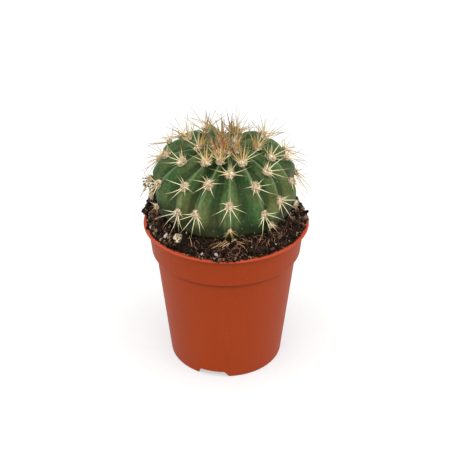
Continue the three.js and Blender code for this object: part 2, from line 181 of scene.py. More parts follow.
class Cushion:
    across = 1.4 * MM
    along = 1.7 * MM
    thickness = 1.05 * MM
    lift = 0.55 * MM
    models = 4
    ball = 1 * MM
    # What roughens it: the grain and the height of each pattern.
    felt = ((1.3 * MM, 0.6 * MM), (0.55 * MM, 0.5 * MM), (0.25 * MM, 0.25 * MM))
    sizes = (0.94, 1.06)
    young_widening = 0.15
    young_shortening = 0.2
    young_flattening = 0.3
    dirt = (0.3, 0.45)
    young_dirt = 0.05
    buried_dirt = 0.3


class Hair:
    number = 110
    length = 0.8 * MM
    root_radius = 0.07 * MM
    tip_radius = 0.03 * MM
    bends = (0.35, 0.7)
    curl = 0.16 * MM
    twist = 0.05 * MM
    lowest = -0.15
    stray = 0.9
    sizes = (0.6, 1.1)
    root_share = 0.78


class Spine:
    thickness = 0.13 * MM
    tip_share = 0.12
    length = 7 * MM
    sides = 6
    bows = (0.1 * MM, 0.25 * MM, 0.45 * MM)
    # Shares of its length, and how thick it is there beside a plain cone.
    girth_along = ((0, 1.25), (0.08, 1.1), (0.3, 1.2), (0.55, 1.3), (0.8, 1.35))
    root_lift = 0.5 * MM
    aim_lift = 0.4 * MM
    wool_reach = 2.2 * MM
    trace_step = 0.05 * MM
    trace_steps = range(40, 300)
    tip_gap = 0.06 * MM
    box_gap = 0.05 * MM
    # Latitudes between which a cushion comes to be young, to be buried, or to be combed down.
    young = (38, 68)
    buried = (-1, -5)
    combing = (40, 5)
    combed = 0.72
    buried_loss = 0.45
    frontal_loss = 0.45
    upper_loss = 0.5
    behind_loss = 0.25
    # How brown it is: in a young areole at the back and at the front, in soil, and turned away.
    young_tones = (0.45, 0.25)
    buried_tone = 0.7
    away_tone = 0.5
    tone_spread = 0.3
    girths = (0.85, 1.1)
    thickening = 0.25
    buried_thinning = 0.3
    root_outs = (0.3 * MM, 1.1 * MM)


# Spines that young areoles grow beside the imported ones. The fan is how far they spread to each
# side of straight up the rib, and the raise is their angle over the skin, both in degrees. The
# least and the most of raise and of tone each go from a first value to a last.
Growth = namedtuple(
    "Growth", "number seed fan least_raise most_raise lengths least_tone most_tone girth"
)
BRISTLES = Growth(20, 200, 95, (30, 44), (62, 76), (1.5 * MM, 3.6 * MM), (0, 0), (0.3, 0.5), 0.95)
FINE_SPINES = Growth(9, 280, 120, (36, 36), (80, 80), (3.5 * MM, 8 * MM), (0.1, 0.1), (0.7, 0.7), 0.75)
STRONG_SPINES = Growth(6, 250, 42, (60, 40), (82, 64), (7.5 * MM, 10 * MM), (0.8, 0.8), (1, 1), 1.5)


class Young:
    # Latitudes between which strong spines come in.
    strong_from = (57, 66)
    # The share of strong spines that is left behind the plant, and of fine ones in front of it.
    strong_behind = 0.3
    fine_in_front = 0.25
    # How far strong spines take the place of fine ones.
    strong_for_fine = 0.7


# A kind of spine in the crown: its lengths, its tones and its girth.
Brush = namedtuple("Brush", "lengths tones girth")


class Crown:
    radius = 5.2 * MM
    knobs = 11
    first_knob = 0.6
    knob_offset = 0.3
    knob_lift = 0.2 * MM
    knob_sizes = (0.75, 0.85)
    knob_tones = (0.3, 0.1)
    gather = 0.8
    # Every fourth packed spine is strong, and every second one of those keeps its whole length.
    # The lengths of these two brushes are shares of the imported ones.
    strong_every = 4
    whole_every = 8
    strong = Brush((1, 1), (0.85, 1), 1.6)
    weak = Brush((0.35, 0.7), (0, 0.7), 1.2)
    parting = 1.5 * MM
    parting_width = 2.4 * MM
    parting_loss = 0.62
    bristles = 88
    bristle = Brush((1.6 * MM, 3.8 * MM), (0.1, 0.6), 1.1)
    flushed_bristle = Brush((3.4 * MM, 4.8 * MM), (1.5, 1.5), 2.6)
    flushed_knob = 2
    bristle_out = 0.8 * MM
    bristle_stray = 0.45
    bristle_lean = 0.3


class Soil:
    inner_radius = 19.5 * MM
    outer_radius = 26.2 * MM
    edge_slope = 2
    contact_height = 5.6 * MM
    front_drop = 0.2 * MM
    side_rise = 1.1 * MM
    edge_height = 0.5 * MM
    edge_front_drop = 1 * MM
    edge_left_rise = 2.2 * MM
    left_clump_azimuth = math.radians(-115)
    # Low mounds: azimuth and width in degrees, radius, reach and height.
    mounds = (
        (-104, 16, 25.4 * MM, 2.4 * MM, 3.0 * MM),
        (100, 14, 25.0 * MM, 2.2 * MM, 1.8 * MM),
        (4, 10, 21.0 * MM, 1.6 * MM, 1.3 * MM),
        (20, 12, 21.6 * MM, 1.6 * MM, 0.8 * MM),
        (38, 9, 21.4 * MM, 1.6 * MM, 0.9 * MM),
    )
    # The lumps of its surface: their grain, where their pattern starts, and their height.
    lumps = (
        (3.2 * MM, (0, 0, 0), 0.75 * MM),
        (1.1 * MM, (3, 7, 1), 0.45 * MM),
        (0.55 * MM, (9, 2, 5), 0.3 * MM),
    )
    lumps_sink = 0.2 * MM
    lumps_fade = (24.4 * MM, 25.4 * MM)
    wall_depth = 2 * MM
    dimple = 2.6 * MM
    dimple_height = 3.5 * MM
    segments = 240
    rings = 40
    outermost = 25.2 * MM
    innermost = 11 * MM
    middle = 0.5 * MM
    hollow_segments = 72
    hollow_rings = 48
    hollow_top = 89
    root_room = 1.1
    smooth_below = 50
    tone = 0.1


class Crumb:
    block = 1.45 * MM
    roundness = 0.45
    squash = (1.15, 0.75, 0.6)
    stretches = (0.8, 1.5)
    room = 0.55 * MM
    rise = 0.35
    smooth_below = 25


class Pile:
    """Millimetres, but for sunk, a share of a crumb's size, and pale."""

    step_in = 0.25
    stray = 0.7
    sunk = 0.45
    layer_height = 0.9
    pale = 1.8


class Caught:
    """What hangs in the spines of the leftmost areole: crumbs, and a scrap of old wool.

    The crumbs are so many millimetres out of its middle, down and aside.
    """

    areole = (11, 0)
    crumbs = 16
    outs = (0.6, 3.2)
    downs = (0.2, 3.6)
    asides = (-1.2, 1.4)
    sizes = (0.3, 0.6)
    wool_down = 4.4 * MM
    wool_aside = 1.2 * MM
    wool_lift = 0.9 * MM
    wool_shape = (0.85, 1.8, 0.8, 1)


class Fibre:
    """Headings are in radians beside straight out, and tones and sizes are shares."""

    sides = 5
    tip = 0.4
    smooth_below = 60
    room = 0.3 * MM
    headings = (0.3, 2.6)
    tones = (0.3, 1.1)
    lifts = (0.15 * MM, 0.7 * MM)
    sizes = (0.3, 0.8)
    straw_lifts = (1.4 * MM, 0.6 * MM)


class Grain:
    """White grains: radii and lifts in millimetres. The rise is a share of a grain's size."""

    strewn = 60
    radii = (20.5, 24.8)
    sizes = (0.16, 0.4)
    lift = 0.4
    shown_lift = 0.75
    rise = 0.5


class Husk:
    azimuth = math.radians(-40)
    radius = 23.7 * MM
    lift = 0.6 * MM
    grain = 0.7 * MM
    relief = 0.6 * MM
    # Each knob: its place from the foot of the husk, and its radius, in millimetres.
    knobs = (
        (0, 0, -0.3, 0.75),
        (-0.65, 0.1, 0.7, 0.7),
        (0.6, -0.1, 0.6, 0.65),
        (-0.2, 0.2, 1.5, 0.65),
        (0.7, 0.2, 1.5, 0.5),
    )


GAP = 0.3 * MM
RIM = Pot.height
COLLAR_Z = Pot.height - Pot.collar_height
FLOOR_TOP = Pot.foot_ring_height + Pot.floor_thickness

PLANT = (
    Matrix.Translation((Body.offset_x, Body.offset_y, RIM + Body.height_over_rim))
    @ Matrix.Rotation(math.radians(Body.lean_forward), 4, "X")
    @ Matrix.Rotation(math.radians(Body.lean_right), 4, "Y")
)
TO_PLANT = PLANT.inverted()


# Small numbers

def draw(count):
    """A number from 0 to 1 that is always the same for the same count.

    Uses start their counts at different numbers, so that they don't draw alike.
    """
    wave = math.sin(count * 127.1 + 31.7) * 43758.5453
    return wave - math.floor(wave)


def between(low, high, share):
    return low + (high - low) * share


def smooth_step(value, low, high):
    """A smooth step from 0 at low to 1 at high, whichever of the two is larger."""
    share = min(max((value - low) / (high - low), 0), 1)
    return share * share * (3 - 2 * share)


def bell(off, width):
    """1 at the middle of a bell curve, and less the further off."""
    return math.exp(-((off / width) ** 2))


def outward(azimuth):
    """The level direction at an azimuth, counted from the front toward the right."""
    return Vector((math.sin(azimuth), -math.cos(azimuth), 0))


# Tools of the bench

def deselect_all():
    bpy.ops.object.select_all(action="DESELECT")


def take(piece):
    """Selects one piece alone."""
    deselect_all()
    piece.select_set(True)
    bpy.context.view_layer.objects.active = piece


@contextmanager
def editing(piece):
    """Edit mode on one piece, with all of it selected."""
    take(piece)
    bpy.ops.object.mode_set(mode="EDIT")
    bpy.ops.mesh.select_mode(type="VERT")
    bpy.ops.mesh.select_all(action="SELECT")
    yield
    bpy.ops.object.mode_set(mode="OBJECT")


def pick(piece, rule, kind="VERT"):
    """Selects, inside editing, the vertices or edges whose every vertex obeys a rule on its place."""
    bpy.ops.mesh.select_mode(type=kind)
    bpy.ops.mesh.select_all(action="DESELECT")
    bpy.ops.object.mode_set(mode="OBJECT")
    mesh = piece.data
    obeys = [rule(vertex.co) for vertex in mesh.vertices]
    if kind == "EDGE":
        edges = [all(obeys[v] for v in edge.vertices) for edge in mesh.edges]
        mesh.edges.foreach_set("select", edges)
    else:
        mesh.vertices.foreach_set("select", obeys)
    bpy.ops.object.mode_set(mode="EDIT")


def at_height(z):
    """A rule for the vertices at one height."""
    return lambda place: abs(place.z - z) < SAME


def cut_across(z):
    """Cuts the piece that is being edited across at a height, and keeps both halves."""
    bpy.ops.mesh.select_all(action="SELECT")
    bpy.ops.mesh.bisect(plane_co=(0, 0, z), plane_no=(0, 0, 1))


def bend_at(piece, z, aside, forward):
    """Cuts a strand across at a height and moves it there."""
    cut_across(z)
    pick(piece, at_height(z))
    bpy.ops.transform.translate(value=(aside, forward, 0))


def settle(piece, name):
    """Puts a finished piece's place into its mesh, and names it."""
    take(piece)
    bpy.ops.object.transform_apply(location=True, rotation=True, scale=True)
    piece.name = name
    piece.data.name = name
    return piece


def apply_modifier(piece, kind, **settings):
    take(piece)
    modifier = piece.modifiers.new(kind.title(), kind)
    for name, value in settings.items():
        setattr(modifier, name, value)
    bpy.ops.object.modifier_apply(modifier=modifier.name)


def carve(piece, cutter):
    """Cuts one solid out of another and throws the cutter away."""
    apply_modifier(piece, "BOOLEAN", operation="DIFFERENCE", object=cutter, solver="EXACT")
    discard(cutter)


def discard(*pieces):
    for piece in pieces:
        bpy.data.objects.remove(piece, do_unlink=True)


def roughen(piece, grain, height):
    """Pushes a surface in and out by soft clouds with grains of a given size."""
    texture = bpy.data.textures.new(piece.name + "_grain", "CLOUDS")
    texture.noise_scale = grain
    apply_modifier(piece, "DISPLACE", texture=texture, strength=height, mid_level=0.5)
    bpy.data.textures.remove(texture)


def mark(piece, name, values):
    """Stores one number for each vertex, for the piece's finish to read."""
    attribute = piece.data.attributes.get(name) or piece.data.attributes.new(name, "FLOAT", "POINT")
    attribute.data.foreach_set("value", list(values))


def copy_of(model, placing, tone):
    """A copy of a model with its own mesh, in its place."""
    mesh = model.data.copy()
    mesh.transform(placing)
    copy = bpy.data.objects.new(model.name + "_copy", mesh)
    bpy.context.scene.collection.objects.link(copy)
    mark(copy, "tone", [tone] * len(mesh.vertices))
    return copy


def join(name, parts):
    """Makes one piece of several."""
    deselect_all()
    for part in parts:
        part.select_set(True)
    bpy.context.view_layer.objects.active = parts[0]
    bpy.ops.object.join()
    joined = bpy.context.view_layer.objects.active
    joined.name = name
    joined.data.name = name
    return joined


def smooth(piece, degrees=180):
    """Shades a piece smooth, but for its edges that are sharper than so many degrees."""
    take(piece)
    if degrees >= 180:
        bpy.ops.object.shade_smooth()
    else:
        bpy.ops.object.shade_smooth_by_angle(angle=math.radians(degrees))


def wear(finish, *pieces):
    """Gives pieces a finish in place of any other."""
    for piece in pieces:
        piece.data.materials.clear()
        piece.data.materials.append(finish)


def hand_in(piece, slot, *nodes):
    """Lets a finished piece ride on the body, and stand for the nodes it is given."""
    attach(piece, "root")
    if nodes:
        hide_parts(*nodes)


def toward(way):
    """The turn that brings +Z to a direction."""
    return way.to_track_quat("Z", "Y").to_matrix().to_4x4()


# Finishes

class Value:
    """One value of a finish's pattern, for sums written as sums."""

    def __init__(self, finish, socket):
        self.finish = finish
        self.socket = socket

    def _with(self, operation, first, second):
        return self.finish.node("ShaderNodeMath", {"operation": operation}, {0: first, 1: second})

    def __add__(self, other):
        return self._with("ADD", self, other)

    def __sub__(self, other):
        return self._with("SUBTRACT", self, other)

    def __rsub__(self, other):
        return self._with("SUBTRACT", other, self)

    def __mul__(self, other):
        return self._with("MULTIPLY", self, other)

    __radd__ = __add__
    __rmul__ = __mul__


class Finish:
    """A material of nodes round one Principled shader. A colour is a value or a code."""

    def __init__(self, name, **constants):
        self.material = bpy.data.materials.new(name)
        self.material.use_nodes = True
        self.tree = self.material.node_tree
        self.shader = self.tree.nodes["Principled BSDF"]
        for socket, value in constants.items():
            self.shader.inputs[socket.replace("_", " ")].default_value = value
        self.place = self.node("ShaderNodeTexCoord", output="Object")
        self.colour = None

    def node(self, kind, settings=None, inputs=None, output=0):
        made = self.tree.nodes.new(kind)
        for name, value in (settings or {}).items():
            if name == "stops":
                set_stops(made.color_ramp, value)
            else:
                setattr(made, name, value)
        for key, value in (inputs or {}).items():
            self.feed(made.inputs[key], value)
        return Value(self, made.outputs[output])

    def feed(self, socket, value):
        if isinstance(value, Value):
            self.tree.links.new(value.socket, socket)
        else:
            socket.default_value = paint(value) if isinstance(value, str) else value

    def attribute(self, name, output="Fac"):
        return self.node("ShaderNodeAttribute", {"attribute_name": name}, output=output)

    def axis(self, name):
        """The place along X, Y or Z."""
        return self.node("ShaderNodeSeparateXYZ", None, {"Vector": self.place}, name)

    def grain(self, size, detail=2, roughness=0.5, place=None):
        """Soft noise from 0 to 1 with grains of a size in metres."""
        where = place or self.place
        inputs = {"Vector": where, "Scale": 1 / size, "Detail": detail, "Roughness": roughness}
        return self.node("ShaderNodeTexNoise", None, inputs)

    def stretched(self, x, y, z):
        """The place on the piece, squeezed or stretched along its axes."""
        return self.node("ShaderNodeMapping", None, {"Vector": self.place, "Scale": (x, y, z)})

    def spots(self, size, radius):
        """1 in the middle of scattered spots and 0 outside them."""
        inputs = {"Vector": self.place, "Scale": 1 / size}
        distance = self.node("ShaderNodeTexVoronoi", None, inputs, "Distance")
        return self.rise(distance, radius, radius * 0.4)

    def rise(self, value, low, high, start=0, end=1):
        """A smooth step from start at low to end at high."""
        inputs = {"Value": value, "From Min": low, "From Max": high, "To Min": start, "To Max": end}
        return self.node("ShaderNodeMapRange", {"interpolation_type": "SMOOTHSTEP"}, inputs)

    def ramp(self, value, *stops):
        return self.node("ShaderNodeValToRGB", {"stops": stops}, {"Fac": value})

    def mix(self, share, first, second):
        inputs = {0: share, 6: first, 7: second}
        return self.node("ShaderNodeMix", {"data_type": "RGBA"}, inputs, 2)

    def coat(self, share, colour):
        """Lays a share of one more colour over the colour so far."""
        self.colour = self.mix(share, self.colour, colour)

    def finish_with(self, roughness, relief=None, height=0.0, strength=1.0):
        self.feed(self.shader.inputs["Base Color"], self.colour)
        self.feed(self.shader.inputs["Roughness"], roughness)
        if relief is not None:
            inputs = {"Height": relief, "Distance": height, "Strength": strength}
            self.feed(self.shader.inputs["Normal"], self.node("ShaderNodeBump", None, inputs))
        return self.material


def set_stops(ramp, stops):
    while len(ramp.elements) < len(stops):
        ramp.elements.new(1)
    for element, (position, code) in zip(ramp.elements, stops):
        element.position = position
        element.color = paint(code)


def paint(code):
    """A colour code such as #a84a2a as light shares."""
    shares = [int(code[start : start + 2], 16) / 255 for start in (1, 3, 5)]
    return tuple(s / 12.92 if s <= 0.04045 else ((s + 0.055) / 1.055) ** 2.4 for s in shares) + (1,)


def terracotta_plastic():
    finish = Finish("terracotta_plastic", IOR=1.5, Specular_IOR_Level=0.1)
    cloud = finish.grain(14 * MM, 3)
    streaks = finish.grain(1.6 * MM, 2, place=finish.stretched(1, 1, 0.06))
    fine = finish.grain(0.35 * MM, 2)
    dust = finish.spots(2.6 * MM, 0.1)
    finish.colour = finish.mix(cloud, "#8b2f04", "#953509")
    finish.coat(streaks * 0.25, "#9b421a")
    finish.coat(dust * 0.3, "#b37a58")
    height = finish.axis("Z")
    # Painted shade: a soft dark band in the crease under the collar and under the lip.
    for edge, reach in ((COLLAR_Z, 2.2 * MM), (RIM - Pot.lip_thickness, 1.6 * MM)):
        crease_shade = finish.rise(height, edge - reach, edge) * finish.rise(height, edge + 0.15 * MM, edge)
        finish.coat(crease_shade * 0.6, "#3f1402")
    # Painted highlight: a lighter, pinker band along the top of the lip.
    lip_highlight = finish.rise(height, RIM - 0.5 * MM, RIM - 0.1 * MM)
    finish.coat(lip_highlight * (cloud * 1.2), "#ad4a35")
    roughness = 0.46 + cloud * 0.08 + fine * 0.06
    return finish.finish_with(roughness, fine + streaks * 0.8, 0.02 * MM, 0.5)


def cactus_skin():
    finish = Finish("cactus_skin", IOR=1.45, Specular_IOR_Level=0.12)
    crest = finish.attribute("crest")
    height = finish.attribute("height")
    worn = finish.attribute("worn")
    along_rib = finish.attribute("flow", "Vector")
    cloud = finish.grain(6 * MM, 3)
    hue = finish.grain(8 * MM, 3)
    sideways = finish.axis("X")
    streaks = finish.grain(1.3 * MM, 3, place=along_rib)
    bands = finish.grain(1.7 * MM, 2, place=along_rib)
    mottle = finish.grain(0.9 * MM, 3)
    fine = finish.grain(0.5 * MM, 3)
    lighter = finish.rise(cloud, 0.3, 0.7)
    green = finish.mix(lighter, "#33502a", "#496839")
    olive = finish.mix(lighter, "#4a5429", "#64693f")
    low_left = finish.rise(sideways, 1 * MM, -6 * MM) * finish.rise(sideways, -18 * MM, -12 * MM)
    low_right = finish.rise(sideways, 10 * MM, 14 * MM) * finish.rise(sideways, 20 * MM, 16 * MM)
    low = (low_left + low_right) * finish.rise(height, 0.32, 0.08)
    finish.colour = finish.mix(finish.rise(hue + low * 0.15, 0.36, 0.66), green, olive)
    finish.coat(finish.rise(bands, 0.48, 0.62) * 0.5, "#1d402a")
    finish.coat(finish.rise(streaks, 0.5, 0.7) * 0.5, "#6b7a50")
    finish.coat(low * 0.3, "#848452")
    # Painted shade: the upper body darkened against the strong light from above.
    finish.coat(finish.rise(height, 0.05, 0.5) * 0.35, "#1d3a1a")
    finish.coat(finish.rise(mottle, 0.52, 0.68) * 0.3, "#6b7f50")
    finish.coat(finish.rise(mottle, 0.46, 0.3) * 0.35, "#1f3a20")
    # Painted shade: the furrows between the ribs darkened.
    furrow = finish.rise(crest, 0.3, 0.0) * finish.rise(height, -0.25, 0.1)
    finish.coat(furrow * 0.7, "#10240f")
    ridge = finish.rise(crest, 0.72, 1.0) * finish.rise(height, -0.3, 0.2, 0.25, 1)
    finish.coat(ridge * (0.05 + streaks * 0.8), "#6f8058")
    finish.coat(finish.rise(worn, 0.2, 1) * 0.6, "#6d6549")
    # Painted shade: the lower body and its underside darkened down to the soil.
    finish.coat(finish.rise(height, 0.03, -0.12) * 0.85, "#121806")
    specks = finish.spots(1.6 * MM, 0.13) * finish.rise(cloud, 0.38, 0.52)
    finish.coat(specks * 0.7, "#98a078")
    roughness = 0.46 + cloud * 0.1 + ridge * 0.15
    relief = fine * 0.5 + streaks + specks * 1.2
    return finish.finish_with(roughness, relief, 0.12 * MM, 0.6)


def areole_wool():
    finish = Finish("areole_wool", IOR=1.4, Specular_IOR_Level=0.2)
    tone = finish.attribute("tone")
    felt = finish.grain(0.35 * MM, 3, 0.7)
    clumps = finish.grain(0.9 * MM, 2)
    blush = finish.grain(1.1 * MM, 2)
    light = felt * 0.5 + clumps * 0.5
    finish.colour = finish.ramp(light, (0.38, "#6b5238"), (0.48, "#b39d78"), (0.58, "#ebe4d0"))
    finish.coat(finish.rise(blush, 0.5, 0.68) * 0.35, "#c4957c")
    finish.coat(tone * 0.8, "#7a6230")
    return finish.finish_with(0.9, felt, 0.15 * MM, 0.8)


def spine_horn():
    finish = Finish("spine_horn", IOR=1.5, Specular_IOR_Level=0.4)
    along = finish.attribute("along")
    tone = finish.attribute("tone")
    wander = finish.grain(1.3 * MM, 1)
    share = along + wander * 0.3 - 0.15
    straw = finish.ramp(
        share,
        (0.0, "#c9b478"),
        (0.15, "#e9e3c0"),
        (0.55, "#dcd5a8"),
        (0.75, "#a8966c"),
        (0.95, "#76695a"),
    )
    amber = finish.ramp(
        share,
        (0.0, "#d29f4a"),
        (0.25, "#c08c36"),
        (0.5, "#946c26"),
        (0.75, "#664c22"),
        (0.95, "#51473b"),
    )
    flushed = finish.ramp(share, (0.0, "#c8481a"), (0.6, "#c0501e"), (1.0, "#a05a2c"))
    finish.colour = finish.mix(tone, straw, amber)
    finish.coat(finish.rise(tone, 1.1, 1.4), flushed)
    return finish.finish_with(0.42 + wander * 0.15)


def peat():
    finish = Finish("peat", IOR=1.4, Specular_IOR_Level=0.2)
    tone = finish.attribute("tone")
    fine = finish.grain(0.3 * MM, 4, 0.7)
    patches = finish.grain(2.5 * MM, 2)
    finish.colour = finish.ramp(
        tone + fine * 0.4 + patches * 0.3 - 0.35,
        (0.0, "#0d0703"),
        (0.35, "#2b1c12"),
        (0.7, "#57402f"),
        (1.0, "#8f745c"),
    )
    finish.coat(finish.rise(fine, 0.55, 0.7) * 0.5, "#6b5242")
    finish.coat(finish.rise(fine, 0.46, 0.34) * 0.8, "#0d0704")
    return finish.finish_with(0.85 + fine * 0.15, fine + patches, 0.4 * MM, 1.0)


def root_fibre():
    finish = Finish("root_fibre", IOR=1.4, Specular_IOR_Level=0.3)
    tone = finish.attribute("tone")
    wander = finish.grain(0.8 * MM, 2)
    stops = ((0.0, "#2b1a12"), (0.35, "#64402e"), (0.7, "#986652"), (1.0, "#cdab74"))
    finish.colour = finish.ramp(tone, *stops)
    finish.coat(wander * 0.3, "#33211a")
    return finish.finish_with(0.75 + wander * 0.1, wander, 0.08 * MM, 0.5)


def perlite():
    finish = Finish("perlite", IOR=1.4)
    crumble = finish.grain(0.3 * MM, 3)
    finish.colour = finish.mix(crumble, "#8f877d", "#cbc5bc")
    return finish.finish_with(0.8 + crumble * 0.1, crumble, 0.1 * MM, 0.7)


def dry_husk():
    finish = Finish("dry_husk", IOR=1.4)
    crumble = finish.grain(0.6 * MM, 3)
    finish.colour = finish.ramp(crumble, (0.36, "#6b593a"), (0.47, "#b9aa86"), (0.65, "#e2dac2"))
    pits = finish.spots(0.8 * MM, 0.36)
    finish.coat(pits * 0.95, "#20170e")
    return finish.finish_with(0.75 + crumble * 0.1, crumble - pits, 0.3 * MM, 0.9)


def studio_paper():
    finish = Finish("studio_paper", Emission_Strength=0.5)
    tooth = finish.grain(1.2 * MM, 2)
    finish.colour = finish.mix(tooth, "#9a9a99", "#a0a09f")
    glow = finish.mix(tooth, "#fbfbfb", "#ffffff")
    finish.feed(finish.shader.inputs["Emission Color"], glow)
    return finish.finish_with(0.9 + tooth * 0.05)


# The pot

def outer_wall(z):
    return between(Pot.foot_radius, Pot.wall_top_radius, z / COLLAR_Z)


def inner_wall(z):
    if z <= COLLAR_Z:
        return outer_wall(z) - Pot.wall
    up = (z - COLLAR_Z) / Pot.collar_height
    return between(Pot.collar_bottom_radius - Pot.wall, Pot.lip_inner_radius, up)


def pull_ring(radius, z, next_radius, next_z):
    """Extrudes the selected ring to its next radius and height."""
    bpy.ops.mesh.extrude_region_move(TRANSFORM_OT_translate={"value": (0, 0, next_z - z)})
    size = next_radius / radius
    bpy.ops.transform.resize(value=(size, size, 1), center_override=(0, 0, next_z))


def on_ring(radius, z):
    """A rule for the vertices of one ring round the axis."""
    return lambda place: abs(place.xy.length - radius) < 2 * SAME and abs(place.z - z) < 2 * SAME


def make_pot():
    """The moulded pot: a ring pulled along its wall, with notches and drain holes cut out."""
    foot_inner = Pot.foot_radius - Pot.foot_ring_width
    lip_z = RIM - Pot.lip_thickness
    step_z = COLLAR_Z + Pot.step_height
    shoulder_z = COLLAR_Z - Pot.wall
    # Each ring of the wall, from the drain hole round the outside to the inside: its radius,
    # its height, and how round its corner is.
    rings = (
        (Pot.drain_radius, Pot.foot_ring_height, 0),
        (foot_inner, Pot.foot_ring_height, 0.3 * MM),
        (foot_inner, 0, 0.35 * MM),
        (Pot.foot_radius, 0, 0.55 * MM),
        (Pot.wall_top_radius, COLLAR_Z, 0.3 * MM),
        (Pot.collar_bottom_radius, COLLAR_Z, 0.4 * MM),
        (Pot.collar_top_radius, lip_z, 0.5 * MM),
        (Pot.lip_radius, lip_z, 0.3 * MM),
        (Pot.lip_radius, RIM, 0.33 * MM),
        (Pot.lip_inner_radius, RIM, 0.45 * MM),
        (inner_wall(step_z), step_z, 0.3 * MM),
        (inner_wall(shoulder_z), shoulder_z, 0.3 * MM),
        (inner_wall(FLOOR_TOP), FLOOR_TOP, 0.3 * MM),
        (Pot.drain_radius, FLOOR_TOP, 0),
    )
    radius, z, _ = rings[0]
    bpy.ops.mesh.primitive_circle_add(vertices=Pot.segments, radius=radius, location=(0, 0, z))
    pot = settle(bpy.context.object, "nursery_pot")
    with editing(pot):
        for (radius, z, _), (next_radius, next_z, _) in zip(rings, rings[1:] + rings[:1]):
            pull_ring(radius, z, next_radius, next_z)
        bpy.ops.mesh.select_all(action="SELECT")
        bpy.ops.mesh.remove_doubles(threshold=SAME)
        bpy.ops.mesh.normals_make_consistent(inside=False)
        for radius, z, roundness in rings:
            if roundness:
                pick(pot, on_ring(radius, z), "EDGE")
                bpy.ops.mesh.bevel(
                    offset=roundness, offset_type="OFFSET", segments=Pot.corner_segments, affect="EDGES"
                )
    for azimuth in Notch.azimuths:
        carve(pot, notch_cutter(math.radians(azimuth)))
        carve(pot, drain_cutter(math.radians(azimuth)))
    smooth(pot, Pot.smooth_below)
    wear(terracotta_plastic(), pot)
    hand_in(pot, "pot_plastic", "pot")


def notch_cutter(azimuth):
    """The gap in the foot ring that lets water run off, with slanted ends and a rounded foot."""
    width = Notch.left_foot + Notch.right_foot
    offset = (Notch.right_foot - Notch.left_foot) / 2
    top_width = Notch.left_top + Notch.right_top
    top_offset = (Notch.right_top - Notch.left_top) / 2
    height = Notch.height - Notch.rounding
    middle = -(Pot.foot_radius - Pot.foot_ring_width / 2 + Notch.outset)
    bpy.ops.mesh.primitive_cube_add(size=1, location=(0, 0, 0))
    cutter = bpy.context.object
    cutter.scale = (width, Pot.foot_ring_width + Notch.overcut, height)
    cutter.location = (offset, middle, Notch.rounding + height / 2)
    settle(cutter, "notch_cutter")
    with editing(cutter):
        pick(cutter, lambda place: place.z > Notch.height / 2)
        bpy.ops.transform.resize(value=(top_width / width, 1, 1), center_override=(offset, 0, 0))
        bpy.ops.transform.translate(value=(top_offset - offset, 0, 0))
        pick(cutter, lambda place: place.z < Notch.height / 2)
        for drop, flare in Notch.flares:
            move = {"value": (0, 0, -drop * Notch.rounding)}
            bpy.ops.mesh.extrude_region_move(TRANSFORM_OT_translate=move)
            bpy.ops.transform.resize(value=(flare, 1, 1), center_override=(offset, 0, 0))
        bpy.ops.mesh.select_all(action="SELECT")
        bpy.ops.mesh.normals_make_consistent(inside=False)
    cutter.data.transform(Matrix.Rotation(azimuth, 4, "Z"))
    return cutter


def drain_cutter(azimuth):
    """The cylinder that opens one of the side drain holes in the floor."""
    place = outward(azimuth) * Pot.side_drain_distance
    place.z = FLOOR_TOP - Pot.floor_thickness / 2
    bpy.ops.mesh.primitive_cylinder_add(
        vertices=Pot.drain_segments,
        radius=Pot.side_drain_radius,
        depth=Pot.floor_thickness + Pot.drain_overcut,
        location=place,
    )
    return settle(bpy.context.object, "drain_cutter")


# The body and its shape

def crest_point(azimuth, latitude):
    """A point on the surface through the rib crests."""
    height = Body.upper_height if latitude >= 0 else Body.lower_height
    power = 2 / Body.squareness
    point = outward(azimuth) * (Body.radius * max(math.cos(latitude), 0) ** power)
    point.z = math.copysign(height * abs(math.sin(latitude)) ** power, latitude)
    return point


def crest_frame(azimuth, latitude, step=0.03):
    """The axes at a place on a crest: across the rib, up the rib and out of the skin."""
    above = crest_point(azimuth, latitude + step)
    below = crest_point(azimuth, latitude - step)
    up = (above - below).normalized()
    side = Vector((math.cos(azimuth), math.sin(azimuth), 0))
    axes = Matrix((side, up, side.cross(up).normalized())).transposed().to_4x4()
    return Matrix.Translation(crest_point(azimuth, latitude)) @ axes


def shift_of(rib, index):
    """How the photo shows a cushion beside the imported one; past the last one nothing is shifted."""
    return SHIFTS[rib][index] if index < CUSHIONS_PER_RIB else (0, 0, 1)


def cushion_place(rib, index, is_packed=False):
    """The azimuth and latitude of a cushion in degrees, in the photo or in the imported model."""
    azimuth, lowest, step = RIBS[rib]
    aside, up = (0, 0) if is_packed else shift_of(rib, index)[:2]
    return azimuth + aside, lowest + step * index + up


@lru_cache(maxsize=None)
def crest_azimuths(degrees):
    """Where each crest stands at a latitude, led by its cushions."""
    azimuths = []
    for rib in range(len(RIBS)):
        places = [cushion_place(rib, index) for index in range(CUSHIONS_PER_RIB)]
        azimuth = places[0][0]
        for (_, low), (next_azimuth, high) in zip(places, places[1:]):
            azimuth = between(azimuth, next_azimuth, smooth_step(degrees, low, high))
        azimuths.append(math.radians(azimuth))
    return azimuths


def rib_at(azimuth, degrees):
    """The number of the crest before an azimuth, and how far it is to the next one."""
    azimuths = crest_azimuths(round(degrees))
    start = azimuths[0]
    turned = (azimuth - start) % FULL_TURN + start
    before = max(index for index, rib in enumerate(azimuths) if rib <= turned + 1e-9)
    after = azimuths[before + 1] if before + 1 < len(azimuths) else start + FULL_TURN
    return before, (turned - azimuths[before]) / (after - azimuths[before])


def furrow_share(azimuth, degrees):
    """0 on a crest, 1 in the middle of a furrow."""
    return math.sin(math.pi / 2 * max(1 - abs(2 * rib_at(azimuth, degrees)[1] - 1), 0))


def furrow_depth(degrees):
    if degrees >= 0:
        return Furrow.depth * (1 - smooth_step(degrees, Furrow.crown_fade, 90))
    return between(Furrow.depth, Furrow.low_depth, smooth_step(-degrees, 0, Furrow.low_latitude))


